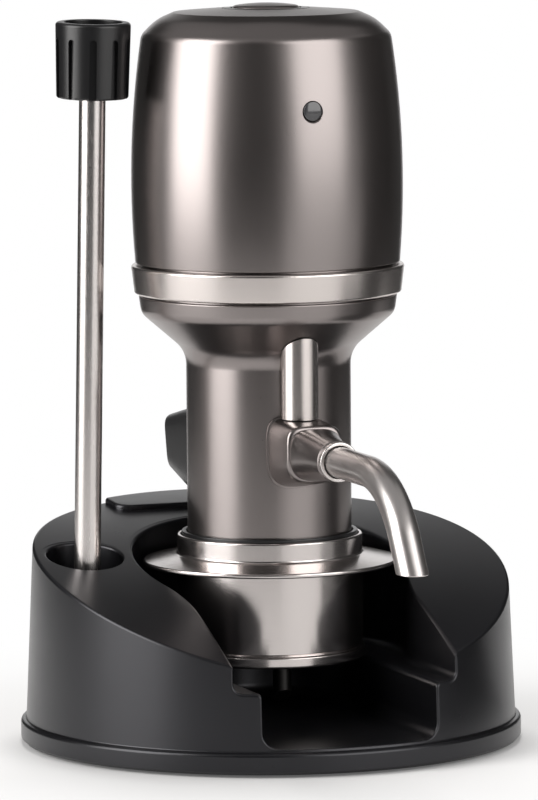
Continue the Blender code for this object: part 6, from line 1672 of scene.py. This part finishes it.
def make_lever():
    length = LEVER_TIP - LEVER_ROOT
    rings = [
        lever_ring(LEVER_ROOT, 0, 0, LEVER_ROOT_EDGE),
        lever_ring(LEVER_ROOT + LEVER_ROOT_EDGE, LEVER_ROOT_SHARE, 0),
    ]
    for share in (0.25, 0.5, 0.75):
        rings.append(lever_ring(LEVER_ROOT + length * share, share, LEVER_SLANT * share))
    for inward, back in edge_arc(5):
        back *= LEVER_ROUNDING
        shrink = LEVER_ROUNDING * inward
        rings.append(lever_ring(LEVER_TIP - back, 1 - back / length, LEVER_SLANT, shrink))
    lever = lofted("thumb_lever", rings)
    fall = (LEVER_ROOT_TOP - LEVER_TIP_TOP) / length
    roof = LEVER_ROOT_TOP - LEVER_ROOF
    foot = LEVER_ROOT_FOOT - RUN_PAST
    half = LEVER_POCKET_HALF_WIDTH
    pockets = []
    for start, end in (LEVER_INNER_POCKET, LEVER_OUTER_POCKET):
        high, low = (roof - (place - LEVER_ROOT) * fall for place in (start, end))
        outline = [(start, foot), (end, foot), (end, low), (start, high)]
        pockets.append(moved(prism("lever_pocket", outline, -half, half), ACROSS))
    hole = cylinder("pin_hole", PIN_RADIUS, -PIN_HALF_LENGTH, PIN_HALF_LENGTH, PIN_STEPS)
    cut(lever, *pockets, moved(hole, Matrix.Translation(LEVER_PIVOT) @ ACROSS))
    pawl = slab("pawl", PAWL_HALF_WIDTH, PAWL_DEPTH, PAWL_HEIGHT)
    fine_edges(pawl, SOFT_EDGE, 2)
    lever = joined("thumb_lever", lever, pawl)
    dress(lever, LEVER_PLASTIC, "lock_lever", "black_plastic", "lock_lever")


# Springs


def make_springs(coil):
    low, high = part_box("button_spring")
    wire = BUTTON_WIRE
    spring = grown(
        "button_coil",
        coil,
        Turns=BUTTON_COIL_TURNS,
        Radius=high.x - wire,
        Height=high.z - low.z - 2 * wire,
        Wire_Radius=wire,
        Finish=BARE_STEEL,
    )
    moved(spring, Matrix.Translation((0, 0, low.z + wire)))
    dress(spring, BARE_STEEL, "aerator", "bare_steel", "button_spring")


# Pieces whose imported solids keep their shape, each with its finish

KEPT = (
    (BLACK_RUBBER, ("foot_pad",)),
    (STAND_PLASTIC, ("stand_bottom_cover",)),
    (LEVER_PLASTIC, ("lever_bracket",)),
    (BARE_STEEL, ("lever_pin", "lever_spring", "charge_port", "tact_switch", "idler_pin", "motor")),
    (BARE_STEEL, tuple(name for name in nodes if "screw" in name)),
    (SILICONE, ("cap_seal", "bottle_gasket", "outlet_seal")),
    (CAP_PLASTIC, ("inlet_spigot", "bottle_guide")),
    (GREY_PLASTIC, ("inner_frame", "pump_body", "pump_cover", "drive_gear", "idler_gear")),
    (BOARD, ("charge_board", "control_board", "switch_board")),
    (BATTERY_FILM, ("battery_cell",)),
    (LENS, ("status_led",)),
)


def finish_kept_pieces():
    for material, names in KEPT:
        for name in names:
            for place in nodes[name].material_slots:
                place.material = material


COIL = coil_tree()
RING = ring_tree()
make_stand()
make_tube_and_cap(RING)
make_cup()
make_insert()
make_housing()
make_band()
make_head()
make_lens()
make_button_and_ring()
make_flap()
make_boss()
make_riser()
make_nut()
make_spout()
make_lever()
make_springs(COIL)
finish_kept_pieces()

bpy.context.scene.view_settings.view_transform = "Standard"
